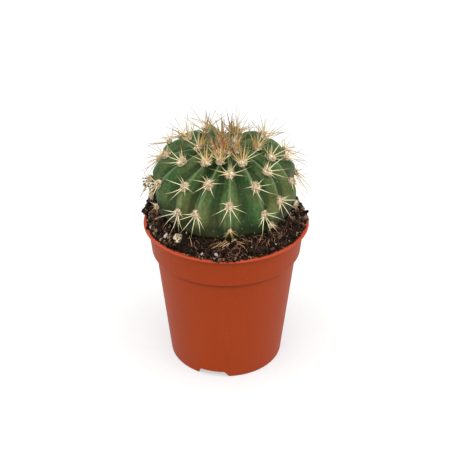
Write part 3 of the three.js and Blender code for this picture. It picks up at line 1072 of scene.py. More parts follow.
def skin_reach(direction, has_furrows=True):
    """How far the skin reaches from the body's centre along a unit direction."""
    radial = max(direction.xy.length / Body.radius, 1e-6)
    height = Body.upper_height if direction.z >= 0 else Body.lower_height
    axial = abs(direction.z) / height
    reach = (radial**Body.squareness + axial**Body.squareness) ** (-1 / Body.squareness)
    latitude = math.copysign(math.atan((axial / radial) ** (Body.squareness / 2)), direction.z)
    degrees = math.degrees(latitude)
    reach -= Body.crown_dip * bell(90 - degrees, Body.crown_dip_width)
    if has_furrows:
        share = furrow_share(math.atan2(direction.x, -direction.y), degrees)
        reach -= furrow_depth(degrees) * share**Furrow.roundness
    return reach


def over_skin(point, lift, has_furrows=True):
    """The point a little over the skin, on the ray from the body's centre through a point."""
    direction = point.normalized()
    return direction * (skin_reach(direction, has_furrows) + lift)


class Areole:
    """One place on a crest where wool and spines grow."""

    # Cosines of the azimuth between which it comes to stand in front, or to be turned away.
    front = (-0.2, 0.5)
    away = (0.5, 0)

    def __init__(self, rib, index):
        self.rib = rib
        self.index = index
        azimuth, self.degrees = cushion_place(rib, index)
        packed = [math.radians(angle) for angle in cushion_place(rib, index, True)]
        self.azimuth = math.radians(azimuth)
        self.wool = shift_of(rib, index)[2]
        self.axes = crest_frame(self.azimuth, math.radians(self.degrees))
        self.move = self.axes @ crest_frame(*packed).inverted() @ TO_PLANT
        self.centre = self.axes.to_translation()
        self.side, self.up, self.normal = (self.axes.col[axis].to_3d() for axis in range(3))
        self.youth = smooth_step(self.degrees, *Spine.young)
        self.buried = smooth_step(self.degrees, *Spine.buried)
        self.in_front = smooth_step(math.cos(self.azimuth), *self.front)
        self.turned_away = smooth_step(math.cos(self.azimuth), *self.away)
        self.node = f"areole_{rib + 1:02}_{index + 1}"
        self.seed = 100 * rib + 30 * index

    def placing_at(self, place):
        """Places a model so that its +Z points out of the skin and its +Y up the rib."""
        return PLANT @ Matrix.Translation(place) @ self.axes.to_3x3().to_4x4()


AREOLES = [Areole(rib, index) for index in range(CUSHIONS_PER_RIB) for rib in range(len(RIBS))]


def rib_swelling(azimuth, degrees):
    """The small hump under each cushion, the notch over it, and how worn the crest is there."""
    before, share = rib_at(azimuth, degrees)
    rib = before if share < 0.5 else (before + 1) % len(RIBS)
    closeness = (1 - furrow_share(azimuth, degrees)) ** 2
    swelling = 0
    worn = 0
    for index in range(CUSHIONS_PER_RIB + 1):
        off = degrees - cushion_place(rib, index)[1]
        swelling += sum(rise * bell(off - middle, width) for rise, middle, width in Body.swellings)
        worn += bell(off, Body.worn_width)
    fade = 1 - smooth_step(degrees, *Body.swelling_fade)
    return swelling * closeness * fade, worn * closeness**2


def make_body():
    """The ribbed body, from a ball whose rows and columns are spread over the ribs and the root."""
    columns = len(RIBS) * Body.columns_per_rib
    bpy.ops.mesh.primitive_uv_sphere_add(segments=columns, ring_count=Body.rows, radius=Body.radius)
    body = settle(bpy.context.object, "ribbed_body")
    marks = {"crest": [], "height": [], "worn": []}
    flow = []
    for vertex in body.data.vertices:
        azimuth, degrees, below = spread_column_and_row(vertex.co)
        swelling, worn = rib_swelling(azimuth, degrees)
        if below is not None:
            vertex.co = below
        elif degrees > Body.pole_from:
            vertex.co = over_skin(Vector((0, 0, 1)), 0)
        else:
            vertex.co = over_skin(crest_point(azimuth, math.radians(degrees)), swelling)
        marks["crest"].append(1 - furrow_share(azimuth, degrees))
        marks["height"].append(degrees / 90)
        marks["worn"].append(worn)
        flow.extend(outward(azimuth) * Body.flow_radius + Vector((0, 0, degrees * Body.flow_rise)))
    for name, values in marks.items():
        mark(body, name, values)
    body.data.attributes.new("flow", "FLOAT_VECTOR", "POINT").data.foreach_set("vector", flow)
    body.data.transform(PLANT)
    smooth(body)
    wear(cactus_skin(), body)
    hand_in(body, "stem_skin", "stem")


def spread_column_and_row(place):
    """Where a vertex of the plain ball belongs: azimuth, latitude, and its place if on the root."""
    row = 0.5 + math.asin(min(max(place.z / Body.radius, -1), 1)) / math.pi
    share = (row - Body.root_share) / (1 - Body.root_share)
    degrees = between(Body.lowest_latitude, 90, max(share, 0))
    azimuths = crest_azimuths(round(degrees))
    turn = math.atan2(place.x, -place.y) % FULL_TURN
    column = turn / FULL_TURN * len(RIBS)
    whole = int(column + 1e-6)
    rib = whole % len(RIBS)
    end = azimuths[rib + 1] if rib + 1 < len(RIBS) else azimuths[0] + FULL_TURN
    azimuth = between(azimuths[rib], end, max(column - whole, 0))
    if share >= 0:
        return azimuth, degrees, None
    along = (1 - row / Body.root_share) * len(Body.root)
    step = min(int(along), len(Body.root) - 1)
    bottom = over_skin(crest_point(azimuth, math.radians(Body.lowest_latitude)), 0)
    stations = ((bottom.xy.length, bottom.z),) + Body.root
    radius = between(stations[step][0], stations[step + 1][0], along - step)
    z = between(stations[step][1], stations[step + 1][1], along - step)
    if row < 1e-6:
        radius = 0
    root = outward(azimuth) * radius
    root.z = z
    return azimuth, Body.lowest_latitude, root


# The spines and the wool

def make_needle(name, bow):
    """A slender horny needle along +Z, swollen at its foot and bowed a little."""
    length = Spine.length
    bpy.ops.mesh.primitive_cone_add(
        vertices=Spine.sides,
        radius1=Spine.thickness,
        radius2=Spine.thickness * Spine.tip_share,
        depth=length,
        end_fill_type="TRIFAN",
        location=(0, 0, length / 2),
    )
    needle = settle(bpy.context.object, name)
    with editing(needle):
        for share, _ in Spine.girth_along[1:]:
            cut_across(share * length)
        for share, girth in Spine.girth_along:
            pick(needle, at_height(share * length))
            bpy.ops.transform.resize(value=(girth, girth, 1), center_override=(0, 0, 0))
            bpy.ops.transform.translate(value=(bow * math.sin(math.pi * share), 0, 0))
    smooth(needle)
    mark(needle, "along", [vertex.co.z / length for vertex in needle.data.vertices])
    return needle


def make_hair(name):
    """One short curled strand of wool along +Z."""
    bpy.ops.mesh.primitive_cone_add(
        vertices=3,
        radius1=Hair.root_radius,
        radius2=Hair.tip_radius,
        depth=Hair.length,
        location=(0, 0, Hair.length / 2),
    )
    hair = settle(bpy.context.object, name)
    with editing(hair):
        for share in Hair.bends:
            bend_at(hair, share * Hair.length, Hair.curl * share, Hair.twist)
    smooth(hair)
    mark(hair, "along", [0] * len(hair.data.vertices))
    return hair


def make_cushion(name, seed, hair):
    """A felted cushion of wool with loose hairs, on the ground plane."""
    bpy.ops.mesh.primitive_ico_sphere_add(subdivisions=4, radius=Cushion.ball)
    cushion = bpy.context.object
    cushion.rotation_euler = (seed * 0.9, seed * 1.7, 0)
    settle(cushion, name)
    for grain, height in Cushion.felt:
        roughen(cushion, grain, height)
    shape = Vector((Cushion.across, Cushion.along, Cushion.thickness))
    cushion.scale = shape / Cushion.ball
    settle(cushion, name)
    smooth(cushion)
    for attribute in ("along", "tone"):
        mark(cushion, attribute, [0] * len(cushion.data.vertices))
    strands = []
    for count in range(Hair.number):
        up = between(1, Hair.lowest, (count + 0.5) / Hair.number)
        around = count * GOLDEN_ANGLE + seed
        flat = math.sqrt(1 - up * up)
        ball = Vector((flat * math.cos(around), flat * math.sin(around), up))
        foot = Matrix.Translation(Matrix.Diagonal(shape) @ ball * Hair.root_share)
        stray = Vector([draw(count * 3 + axis + 50 * seed) - 0.5 for axis in range(3)])
        turn = toward((ball + stray * Hair.stray).normalized())
        spin = Matrix.Rotation(FULL_TURN * draw(count + 7), 4, "Z")
        size = Matrix.Scale(between(*Hair.sizes, draw(count + 11 * seed)), 4)
        strands.append(copy_of(hair, foot @ turn @ spin @ size, 0))
    return join(name, [cushion, *strands])


def sharp_points(node, weld=2e-3 * MM, widest=math.radians(9)):
    """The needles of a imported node: each one's tip and the way from the tip to its root.

    Corners are welded on a fine grid, and a tip is one whose edges all run nearly the same way.
    """
    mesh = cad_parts[node].data
    merged = {}
    for polygon in mesh.polygons:
        corners = [tuple(round(c / weld) for c in mesh.vertices[v].co) for v in polygon.vertices]
        for corner in corners:
            merged.setdefault(corner, set()).update(other for other in corners if other != corner)
    needles = []
    for corner, neighbours in sorted(merged.items()):
        tip = Vector(corner) * weld
        ways = [(Vector(other) * weld - tip).normalized() for other in sorted(neighbours)]
        middle = sum(ways, Vector()).normalized()
        if min(way.dot(middle) for way in ways) > math.cos(widest):
            needles.append((tip, middle))
    return needles


def root_of(tip, way, has_furrows, centre=None):
    """Follows a needle from its tip into the wool, in the plant's own axes."""
    for count in Spine.trace_steps:
        point = tip + way * Spine.trace_step * count
        near = centre is None or (point - centre).length < Spine.wool_reach
        lift = point.length - skin_reach(point.normalized(), has_furrows)
        if near and lift < Spine.root_lift:
            return point
    return point


def needle_between(model, root, tip, turn, girth, tone):
    """A copy of a needle from a root to a tip, given in the plant's own axes."""
    way = tip - root
    stretch = (way.length - Spine.tip_gap) / Spine.length
    shape = Matrix.Rotation(turn, 4, "Z") @ Matrix.Diagonal((girth, girth, stretch, 1))
    return copy_of(model, PLANT @ Matrix.Translation(root) @ toward(way) @ shape, tone)


def held_in(root, tip):
    """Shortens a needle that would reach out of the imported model's box."""
    far_root = PLANT @ root
    far_tip = PLANT @ tip
    low, high = (Vector(corner) for corner in cad_box)
    for axis in range(3):
        over = max(far_tip[axis] - high[axis], low[axis] - far_tip[axis]) + Spine.box_gap
        if over > 0:
            share = over / abs(far_tip[axis] - far_root[axis])
            far_tip = far_tip.lerp(far_root, share)
    return TO_PLANT @ far_tip


def combed(areole, tip, is_tall):
    """Combs a needle of a low areole downward, and shortens it where the photo shows it short.

    That is in the soil, at the top of an old areole, pointed at the camera, and behind unless tall.
    """
    share = smooth_step(areole.degrees, *Spine.combing)
    own = areole.axes.inverted() @ tip
    around = math.atan2(own.x, -own.y) * between(1, Spine.combed, share)
    facing = math.cos(areole.azimuth)
    frontal = max(-math.sin(around) * math.sin(areole.azimuth), 0) * math.sqrt(max(facing, 0))
    upper = max(-math.cos(around), 0) * (1 - areole.youth)
    behind = 0 if is_tall else max(-facing, 0) * areole.youth
    losses = (
        Spine.buried_loss * areole.buried,
        Spine.frontal_loss * frontal,
        Spine.upper_loss * upper,
        Spine.behind_loss * behind,
    )
    reach = math.prod(1 - loss for loss in losses)
    flat = own.xy.length
    return areole.axes @ (Vector((math.sin(around) * flat, -math.cos(around) * flat, own.z)) * reach)


def areole_cushion(areole, cushions):
    """The wool of an areole: broad, flat and clean where it is young, and dirty where it is old."""
    youth = areole.youth
    size = areole.wool * between(*Cushion.sizes, draw(areole.seed + 61))
    wide = size * (1 + Cushion.young_widening * youth)
    tall = size * (1 - Cushion.young_shortening * youth)
    thick = size * (1 - Cushion.young_flattening * youth)
    turn = Matrix.Rotation(math.pi * (areole.rib % 2), 4, "Z")
    placing = areole.placing_at(over_skin(areole.centre, Cushion.lift * thick))
    dirt = between(between(*Cushion.dirt, draw(areole.seed + 62)), Cushion.young_dirt, youth)
    tone = between(dirt, Cushion.buried_dirt, areole.buried)
    cushion = cushions[(areole.rib + areole.index) % len(cushions)]
    return copy_of(cushion, placing @ turn @ Matrix.Diagonal((wide, tall, thick, 1)), tone)


def packed_spines(areole, needles):
    """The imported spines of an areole, combed and aged as the photo shows them."""
    ageing = max(
        between(*Spine.young_tones, areole.in_front) * areole.youth,
        Spine.buried_tone * areole.buried,
        Spine.away_tone * areole.turned_away,
    )
    thicker = 1 + Spine.thickening * max(areole.youth * areole.in_front, areole.turned_away)
    thinner = 1 - Spine.buried_thinning * areole.buried
    spines = []
    for count, (packed_tip, _) in enumerate(sharp_points(areole.node)):
        own = areole.seed + count
        tip = held_in(areole.centre, combed(areole, areole.move @ packed_tip, count % 2 == 0))
        way = (areole.centre + areole.normal * Spine.aim_lift - tip).normalized()
        root = root_of(tip, way, True, areole.centre)
        tone = min(ageing + Spine.tone_spread * draw(own + 70), 1)
        girth = between(*Spine.girths, draw(own + 80)) * thicker * thinner
        turn = FULL_TURN * draw(own + 90)
        spines.append(needle_between(needles[own % len(needles)], root, tip, turn, girth, tone))
    return spines


def grown_spines(areole, needles, growth, number, share):
    """Spines of one kind, fanned out; the share is how far raise and tone go to their last values."""
    raises = [between(*ends, share) for ends in (growth.least_raise, growth.most_raise)]
    tones = [between(*ends, share) for ends in (growth.least_tone, growth.most_tone)]
    spines = []
    for count in range(number):
        own = areole.seed + growth.seed + count
        around = math.radians(between(-growth.fan, growth.fan, (count + draw(own)) / number))
        raised = math.radians(between(*raises, draw(own + 300)))
        flat = areole.up * math.cos(around) + areole.side * math.sin(around)
        way = flat * math.cos(raised) + areole.normal * math.sin(raised)
        out = between(*Spine.root_outs, draw(own + 400)) * areole.wool
        root = over_skin(areole.centre + flat * out, Spine.root_lift)
        tip = held_in(root, root + way * between(*growth.lengths, draw(own + 500)))
        tone = between(*tones, draw(own + 600))
        turn = FULL_TURN * draw(own + 700)
        model = needles[count % len(needles)]
        spines.append(needle_between(model, root, tip, turn, growth.girth, tone))
    return spines


def young_spines(areole, needles):
    """The bristles, the fine spines and the strong ones of a young areole."""
    youth, in_front = areole.youth, areole.in_front
    strong_share = smooth_step(areole.degrees, *Young.strong_from)
    fewer = max(in_front, Young.strong_for_fine * strong_share)
    fine_share = youth * between(1, Young.fine_in_front, fewer)
    bristles = 1 + round(BRISTLES.number * youth)
    fine = round(FINE_SPINES.number * fine_share)
    strong = round(STRONG_SPINES.number * strong_share * between(Young.strong_behind, 1, in_front))
    return (
        grown_spines(areole, needles, BRISTLES, bristles, youth)
        + grown_spines(areole, needles, FINE_SPINES, fine, 0)
        + grown_spines(areole, needles, STRONG_SPINES, strong, in_front)
    )


def loose_wool(areole, cushion):
    """The scrap of old wool that hangs under the leftmost areole."""
    spot = areole.centre - areole.up * Caught.wool_down + areole.side * Caught.wool_aside
    placing = areole.placing_at(over_skin(spot, Caught.wool_lift))
    return copy_of(cushion, placing @ Matrix.Diagonal(Caught.wool_shape), 0)


def make_areole(areole, cushions, needles):
    """The wool and the spines of one areole, as one piece."""
    parts = [areole_cushion(areole, cushions)]
    parts += packed_spines(areole, needles)
    parts += young_spines(areole, needles)
    if (areole.rib, areole.index) == Caught.areole:
        parts.append(loose_wool(areole, cushions[0]))
    spray = join("spray_" + areole.node.removeprefix("areole_"), parts)
    hand_in(spray, "spines_wool", areole.node)


def parted(tip):
    """How much of a crown spine stays: the ones in the middle of the crown are shorter."""
    return 1 - Crown.parting_loss * bell(tip.x - Crown.parting, Crown.parting_width)


def crown_spines(knobs, needles):
    """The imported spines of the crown, gathered to its knobs of wool, and most of them shortened."""
    spines = []
    for count, (packed_tip, way) in enumerate(sharp_points("crown")):
        tip = TO_PLANT @ packed_tip
        straight_root = root_of(tip, TO_PLANT.to_3x3() @ way, False)
        nearest = min(knobs, key=lambda knob: (knob - straight_root).length)
        root = straight_root.lerp(nearest, Crown.gather)
        brush = Crown.weak if count % Crown.strong_every else Crown.strong
        if count % Crown.whole_every != Crown.strong_every:
            reach = between(*brush.lengths, draw(count + 3050))
            tip = root.lerp(tip, reach * parted(tip))
        tone = between(*brush.tones, draw(count + 3000))
        turn = FULL_TURN * draw(count + 3100)
        model = needles[count % len(needles)]
        spines.append(needle_between(model, root, tip, turn, brush.girth, tone))
    return spines


def crown_bristles(knobs, needles):
    """Short bristles round each knob of the crown. Those of one knob are longer and orange-red."""
    bristles = []
    for count in range(Crown.bristles):
        number = count % len(knobs)
        knob = knobs[number]
        brush = Crown.flushed_bristle if number == Crown.flushed_knob else Crown.bristle
        aside = outward(FULL_TURN * draw(count + 3400))
        lean = Crown.bristle_lean * min(knob.xy.length / Crown.radius, 1)
        stray = knob.xy.normalized().to_3d() * lean + aside * Crown.bristle_stray
        root = knob + aside * Crown.bristle_out
        length = between(*brush.lengths, draw(count + 3500))
        tip = root + (Vector((0, 0, 1)) + stray).normalized() * length
        tone = between(*brush.tones, draw(count + 3600))
        turn = FULL_TURN * draw(count + 3700)
        model = needles[count % len(needles)]
        bristles.append(needle_between(model, root, tip, turn, brush.girth, tone))
    return bristles


def make_crown(cushions, needles):
    """The youngest areoles, crowded over the growing point, each with its brush of upright spines."""
    parts = []
    knobs = []
    for count in range(Crown.knobs):
        share = math.sqrt((count + Crown.knob_offset) / Crown.knobs)
        foot = outward(count * GOLDEN_ANGLE + Crown.first_knob) * share * Crown.radius
        foot.z = Body.upper_height
        knob = over_skin(foot, Crown.knob_lift, False)
        knobs.append(knob)
        size = Matrix.Scale(between(*Crown.knob_sizes, share), 4)
        placing = PLANT @ Matrix.Translation(knob) @ toward(knob.normalized()) @ size
        tone = between(*Crown.knob_tones, share)
        parts.append(copy_of(cushions[count % len(cushions)], placing, tone))
    parts += crown_spines(knobs, needles)
    parts += crown_bristles(knobs, needles)
    hand_in(join("crown_tuft", parts), "crown_spines", "crown")


def make_spiny_pieces():
    wool = areole_wool()
    needles = [make_needle(f"needle_{count}", bow) for count, bow in enumerate(Spine.bows)]
    wear(spine_horn(), *needles)
    hair = make_hair("wool_hair")
    wear(wool, hair)
    cushions = [make_cushion(f"cushion_{count}", count + 1, hair) for count in range(Cushion.models)]
    wear(wool, *cushions)
    for areole in AREOLES:
        make_areole(areole, cushions, needles)
    make_crown(cushions, needles)
    discard(hair, *needles, *cushions)


# The soil

def soil_height(azimuth, radius):
    """The height of the soil over the rim, banked up from the lip to the plant."""
    front = max(0, math.cos(azimuth)) ** 2
    side = math.sin(azimuth) ** 2
    left = max(0, math.cos(azimuth - Soil.left_clump_azimuth))
    contact = Soil.contact_height - Soil.front_drop * front + Soil.side_rise * side
    edge = Soil.edge_height - Soil.edge_front_drop * front + Soil.edge_left_rise * left
    out = smooth_step(radius, Soil.inner_radius, Soil.outer_radius)
    height = min(between(contact, edge, out), Soil.edge_slope * (Pot.lip_inner_radius - radius))
    if radius > Pot.lip_inner_radius:
        return max(height, 0)
    for middle, width, middle_radius, reach, rise in Soil.mounds:
        turned = (math.degrees(azimuth) - middle + 180) % 360 - 180
        height += rise * bell(turned, width) * bell(radius - middle_radius, reach)
    return height


def soil_top(azimuth, radius):
    """The height of the crumbly surface over the ground."""
    place = outward(azimuth) * radius
    relief = sum(
        height * noise.noise(place / grain + Vector(start)) for grain, start, height in Soil.lumps
    )
    fade = 1 - smooth_step(radius, *Soil.lumps_fade)
    return RIM + soil_height(azimuth, radius) + (relief - Soil.lumps_sink) * fade


def make_heap():
    """The body of soil from the pot's floor to its crumbly top, with a hollow for the plant."""
    bottom = FLOOR_TOP + GAP
    step_z = COLLAR_Z + Pot.step_height
    sides = [
        (inner_wall(FLOOR_TOP) - GAP, bottom),
        (inner_wall(COLLAR_Z) - GAP, COLLAR_Z - Pot.wall + GAP / 2),
        (inner_wall(step_z) - GAP, step_z + GAP / 2),
        (inner_wall(RIM - Soil.wall_depth) - GAP, RIM - Soil.wall_depth),
    ]
    shares = [ring / Soil.rings for ring in range(Soil.rings + 1)]
    spread = [between(Soil.outermost, Soil.innermost, share) for share in shares]
    stations = sides + [(radius, RIM) for radius in [*spread, Soil.middle]]
    bpy.ops.mesh.primitive_circle_add(
        vertices=Soil.segments, radius=sides[0][0], fill_type="TRIFAN", location=(0, 0, bottom)
    )
    heap = settle(bpy.context.object, "peat_heap")
    with editing(heap):
        pick(heap, on_ring(*sides[0]), "EDGE")
        for (radius, z), (next_radius, next_z) in zip(stations, stations[1:]):
            pull_ring(radius, z, next_radius, next_z)
        bpy.ops.mesh.merge(type="CENTER")
        bpy.ops.mesh.select_all(action="SELECT")
        bpy.ops.mesh.normals_make_consistent(inside=False)
    for vertex in heap.data.vertices:
        if vertex.co.z > RIM - SAME:
            azimuth = math.atan2(vertex.co.x, -vertex.co.y)
            vertex.co.z = soil_top(azimuth, vertex.co.xy.length)
    carve(heap, plant_hollow())
    for areole in AREOLES:
        place = PLANT @ over_skin(areole.centre, Cushion.lift)
        if place.z - RIM - Soil.contact_height < Soil.dimple_height:
            size = Soil.dimple * areole.wool
            bpy.ops.mesh.primitive_ico_sphere_add(subdivisions=3, radius=size, location=place)
            carve(heap, settle(bpy.context.object, "dimple"))
    smooth(heap, Soil.smooth_below)
    mark(heap, "tone", [Soil.tone] * len(heap.data.vertices))
    return heap


def plant_hollow():
    """The plain hollow in the soil that the body and its root stand in."""
    bpy.ops.mesh.primitive_uv_sphere_add(
        segments=Soil.hollow_segments, ring_count=Soil.hollow_rings, radius=Body.radius
    )
    hollow = settle(bpy.context.object, "hollow")
    for vertex in hollow.data.vertices:
        azimuth, degrees, below = spread_column_and_row(vertex.co)
        if below is not None:
            vertex.co = below * (1 + GAP / below.length)
            vertex.co.xy = vertex.co.xy * Soil.root_room
        else:
            crest = crest_point(azimuth, math.radians(min(degrees, Soil.hollow_top)))
            vertex.co = over_skin(crest, GAP, False)
    hollow.data.transform(PLANT)
    return hollow


def make_crumb(name, cuts, jitter, seed):
    """A chunky crumb, from a small block that is shaken and drawn in a little."""
    bpy.ops.mesh.primitive_cube_add(size=Crumb.block)
    crumb = settle(bpy.context.object, name)
    with editing(crumb):
        bpy.ops.mesh.subdivide(number_cuts=cuts)
        bpy.ops.transform.tosphere(value=Crumb.roundness)
        bpy.ops.transform.vertex_random(offset=jitter * MM, seed=seed)
        bpy.ops.transform.resize(value=Crumb.squash, center_override=(0, 0, 0))
        bpy.ops.mesh.quads_convert_to_tris()
    smooth(crumb, Crumb.smooth_below)
    return crumb


def make_strand(name, length, radius, bends):
    """A thin fibre along +Z with a few bends, for roots and straw."""
    bpy.ops.mesh.primitive_cylinder_add(
        vertices=Fibre.sides, radius=radius, depth=length, location=(0, 0, length / 2)
    )
    strand = settle(bpy.context.object, name)
    with editing(strand):
        for count, (aside, forward) in enumerate(bends):
            bend_at(strand, length * (count + 1) / (len(bends) + 1), aside * MM, forward * MM)
        pick(strand, at_height(length))
        bpy.ops.transform.resize(value=(Fibre.tip, Fibre.tip, 1), center_override=(0, 0, length))
    smooth(strand, Fibre.smooth_below)
    return strand


def is_outside_plant(place, room):
    own = TO_PLANT @ place
    return own.length > skin_reach(own.normalized()) + room


def any_turn(seed):
    """A turn about all three axes, drawn from a seed."""
    angles = [FULL_TURN * draw(seed + part) for part in (0.1, 0.2, 0.3)]
    turns = [Matrix.Rotation(angle, 4, axis) for angle, axis in zip(angles, "ZXY")]
    return turns[0] @ turns[1] @ turns[2]


def on_soil(azimuth, radius, lift):
    """The point at a lift over the soil's surface."""
    place = outward(azimuth) * radius
    place.z = soil_top(azimuth, radius) + lift
    return place


def lay_crumb(model, place, size, seed, pale=1):
    """A copy of a crumb at a place, turned, stretched and coloured in its own way."""
    long = size * between(*Crumb.stretches, draw(seed + 0.13))
    turned = any_turn(seed) @ Matrix.Diagonal((long, size, size, 1))
    return copy_of(model, Matrix.Translation(place) @ turned, pale * draw(seed + 0.51) ** 2)


def scatter_crumbs(models, number, sizes, seed, azimuths, radii, lift, pale):
    """Crumbs over a stretch of the soil's surface."""
    crumbs = []
    for count in range(number):
        own = seed + count
        azimuth = math.radians(between(*azimuths, draw(own)))
        radius = between(*radii, math.sqrt(draw(own + 0.37))) * MM
        size = between(*sizes, draw(own + 0.71) ** 2)
        lifted = (lift + Crumb.rise * size * draw(own + 0.93)) * MM
        place = on_soil(azimuth, radius, lifted)
        if is_outside_plant(place, size * Crumb.room):
            crumbs.append(lay_crumb(models[count % len(models)], place, size, own, pale))
    return crumbs


def pile_crumbs(models, azimuths, layers, number, sizes, seed, radius):
    """Crumbs heaped on the lip over a stretch of it, each layer a little further in."""
    crumbs = []
    for layer in range(layers):
        for count in range(number):
            own = seed + layer * 50 + count
            azimuth = math.radians(between(*azimuths, (count + draw(own)) / number))
            size = between(*sizes, draw(own + 0.3))
            stray = Pile.stray * (draw(own + 0.6) - 0.5)
            place = outward(azimuth) * (radius - Pile.step_in * layer + stray) * MM
            place.z = RIM + (Pile.sunk * size + Pile.layer_height * layer) * MM
            crumbs.append(lay_crumb(models[count % len(models)], place, size, own, Pile.pale))
    return crumbs


def caught_crumbs(models):
    """Bits of soil that hang in the spines of the leftmost areole."""
    areole = next(one for one in AREOLES if (one.rib, one.index) == Caught.areole)
    crumbs = []
    for count in range(Caught.crumbs):
        out = between(*Caught.outs, draw(count + 9901))
        down = between(*Caught.downs, draw(count + 9931))
        aside = between(*Caught.asides, draw(count + 9961))
        spot = areole.centre + (areole.normal * out - areole.up * down + areole.side * aside) * MM
        size = between(*Caught.sizes, draw(count))
        crumbs.append(lay_crumb(models[count % len(models)], PLANT @ spot, size, count + 9991))
    return crumbs


def lay_strand(model, azimuth, radius, heading, lifts, tone, size):
    """A strand laid on the soil along a heading, if it stays clear of the plant and the lip."""
    start = on_soil(azimuth, radius, lifts[0])
    ahead = start + outward(heading) * model.dimensions.z * size
    end = on_soil(math.atan2(ahead.x, -ahead.y), ahead.xy.length, lifts[1])
    if not (is_outside_plant(start, Fibre.room) and is_outside_plant(end, Fibre.room)):
        return []
    if end.xy.length > Soil.outer_radius:
        return []
    spin = Matrix.Rotation(FULL_TURN * draw(azimuth * 91 + radius), 4, "Z")
    placing = Matrix.Translation(start) @ toward(end - start) @ spin @ Matrix.Scale(size, 4)
    return [copy_of(model, placing, tone)]


def make_soil():
    """The soil with all its crumbs, as one piece."""
    small = [make_crumb(f"small_crumb_{n}", cuts=0, jitter=0.5, seed=n + 1) for n in range(4)]
    large = [make_crumb(f"large_crumb_{n}", cuts=1, jitter=0.45, seed=n + 5) for n in range(5)]
    heap = make_heap()
    wear(peat(), *small, *large, heap)
    # Crumbs strewn over the soil: models, number, sizes, seed, azimuths in degrees, radii and
    # lift in millimetres, and how pale.
    around = (0, 360)
    strewn = (
        (small, 1900, (0.18, 0.46), 5000, around, (17, 25.2), 0.1, 1),
        (large, 460, (0.35, 1.0), 8000, around, (17, 25.2), 0.2, 0.8),
        (large, 220, (0.9, 1.6), 8800, around, (17, 25.2), 0.2, 0.4),
        (small, 1100, (0.2, 0.42), 9700, around, (24.9, 26.4), 0.1, 0.5),
        (large, 150, (0.4, 0.9), 8600, (-118, -45), (20, 26), 0.35, 1.4),
        (small, 90, (0.2, 0.45), 9600, (-9, 11), (25.6, 27.3), 0.1, 0.9),
        (small, 110, (0.22, 0.5), 9650, (-30, 30), (23.5, 26.6), 0.3, 2),
        (small, 260, (0.25, 0.55), 9660, (-95, -35), (20.5, 26), 0.3, 2),
        (small, 110, (0.22, 0.5), 9670, (40, 100), (20.5, 26), 0.3, 1.6),
    )
    # Crumbs heaped on the lip: models, azimuths, layers, number in each, sizes, seed and radius.
    heaped = (
        (large, (-116, -97), 5, 7, (0.95, 1.4), 9000, 26.9),
        (small, (-122, -92), 6, 20, (0.35, 0.8), 9300, 27.1),
        (large, (84, 116), 2, 7, (0.7, 1.1), 9100, 26.4),
        (small, (74, 120), 2, 18, (0.3, 0.6), 9500, 26.4),
    )
    parts = [heap]
    for row in strewn:
        parts += scatter_crumbs(*row)
    for row in heaped:
        parts += pile_crumbs(*row)
    parts += caught_crumbs(small)
    hand_in(join("peat_soil", parts), "peat", "soil")
    discard(*small, *large)


def make_fibres():
    """Root fibres that lie all over the soil, and the straws of the photo."""
    thin = make_strand("thin_root", 5 * MM, 0.09 * MM, ((0.5, 0.2), (0.8, -0.3), (0.3, 0.3)))
    bends = ((0.9, 0.4), (1.2, -0.5), (0.2, -0.6), (-0.6, 0.3))
    curled = make_strand("curled_root", 6.5 * MM, 0.1 * MM, bends)
    straw = make_strand("straw", 6 * MM, 0.11 * MM, ((0.3, 0.1), (0.4, 0.25), (0.1, 0.2)))
    wear(root_fibre(), thin, curled, straw)
    strands = []
    # Stretches of fibres: how many, azimuths, radii in millimetres, and how pale.
    stretches = (
        (460, 0, 360, 18.5, 25.2, 0.6),
        (260, 8, 50, 19, 22.8, 0.85),
        (140, 50, 110, 19, 25, 0.75),
        (140, -90, -50, 20, 25.5, 0.6),
        (60, -30, 5, 19, 22.5, 0.8),
        (80, -8, 12, 23, 26.2, 0.7),
    )
    count = 0
    for number, first, last, near, far, brightness in stretches:
        for _ in range(number):
            count += 1
            azimuth = math.radians(between(first, last, draw(count + 0.2)))
            radius = between(near, far, draw(count + 0.4)) * MM
            heading = azimuth + between(*Fibre.headings, draw(count + 0.6)) * (1 if count % 2 else -1)
            model = (thin, curled, thin)[count % 3]
            tone = min(brightness * between(*Fibre.tones, draw(count + 0.8)), 1)
            lift = between(*Fibre.lifts, draw(count + 0.9))
            size = between(*Fibre.sizes, draw(count + 0.7))
            strands += lay_strand(model, azimuth, radius, heading, (lift, lift), tone, size)
    # Single straws: azimuth, radius in millimetres, heading, how pale, and size.
    straws = (
        (-31, 22.4, 24, 1, 0.6),
        (8, 22.3, -76, 1, 1),
        (5, 22.3, -70, 0.95, 0.9),
        (3, 22.3, -80, 0.95, 0.8),
        (7, 22.3, -62, 0.8, 0.6),
        (0, 22.3, -84, 0.95, 0.7),
        (-4, 22.4, -78, 1, 0.7),
        (6, 22.3, -86, 0.9, 0.7),
        (2, 22.3, -66, 0.85, 0.6),
        (-6, 22.6, -84, 0.8, 0.6),
        (8, 22.4, -84, 0.85, 0.8),
        (7, 22.5, 96, 0.9, 0.6),
        (8, 22.8, 72, 0.8, 0.8),
        (30, 22.2, -40, 0.85, 0.7),
        (36, 22.6, 10, 0.8, 0.6),
        (40, 22.8, 70, 0.8, 0.8),
    )
    for azimuth, radius, heading, tone, size in straws:
        angles = [math.radians(azimuth), math.radians(heading)]
        lifts = Fibre.straw_lifts
        strands += lay_strand(straw, angles[0], radius * MM, angles[1], lifts, tone, size)
    hand_in(join("root_fibres", strands), "peat")
    discard(thin, curled, straw)


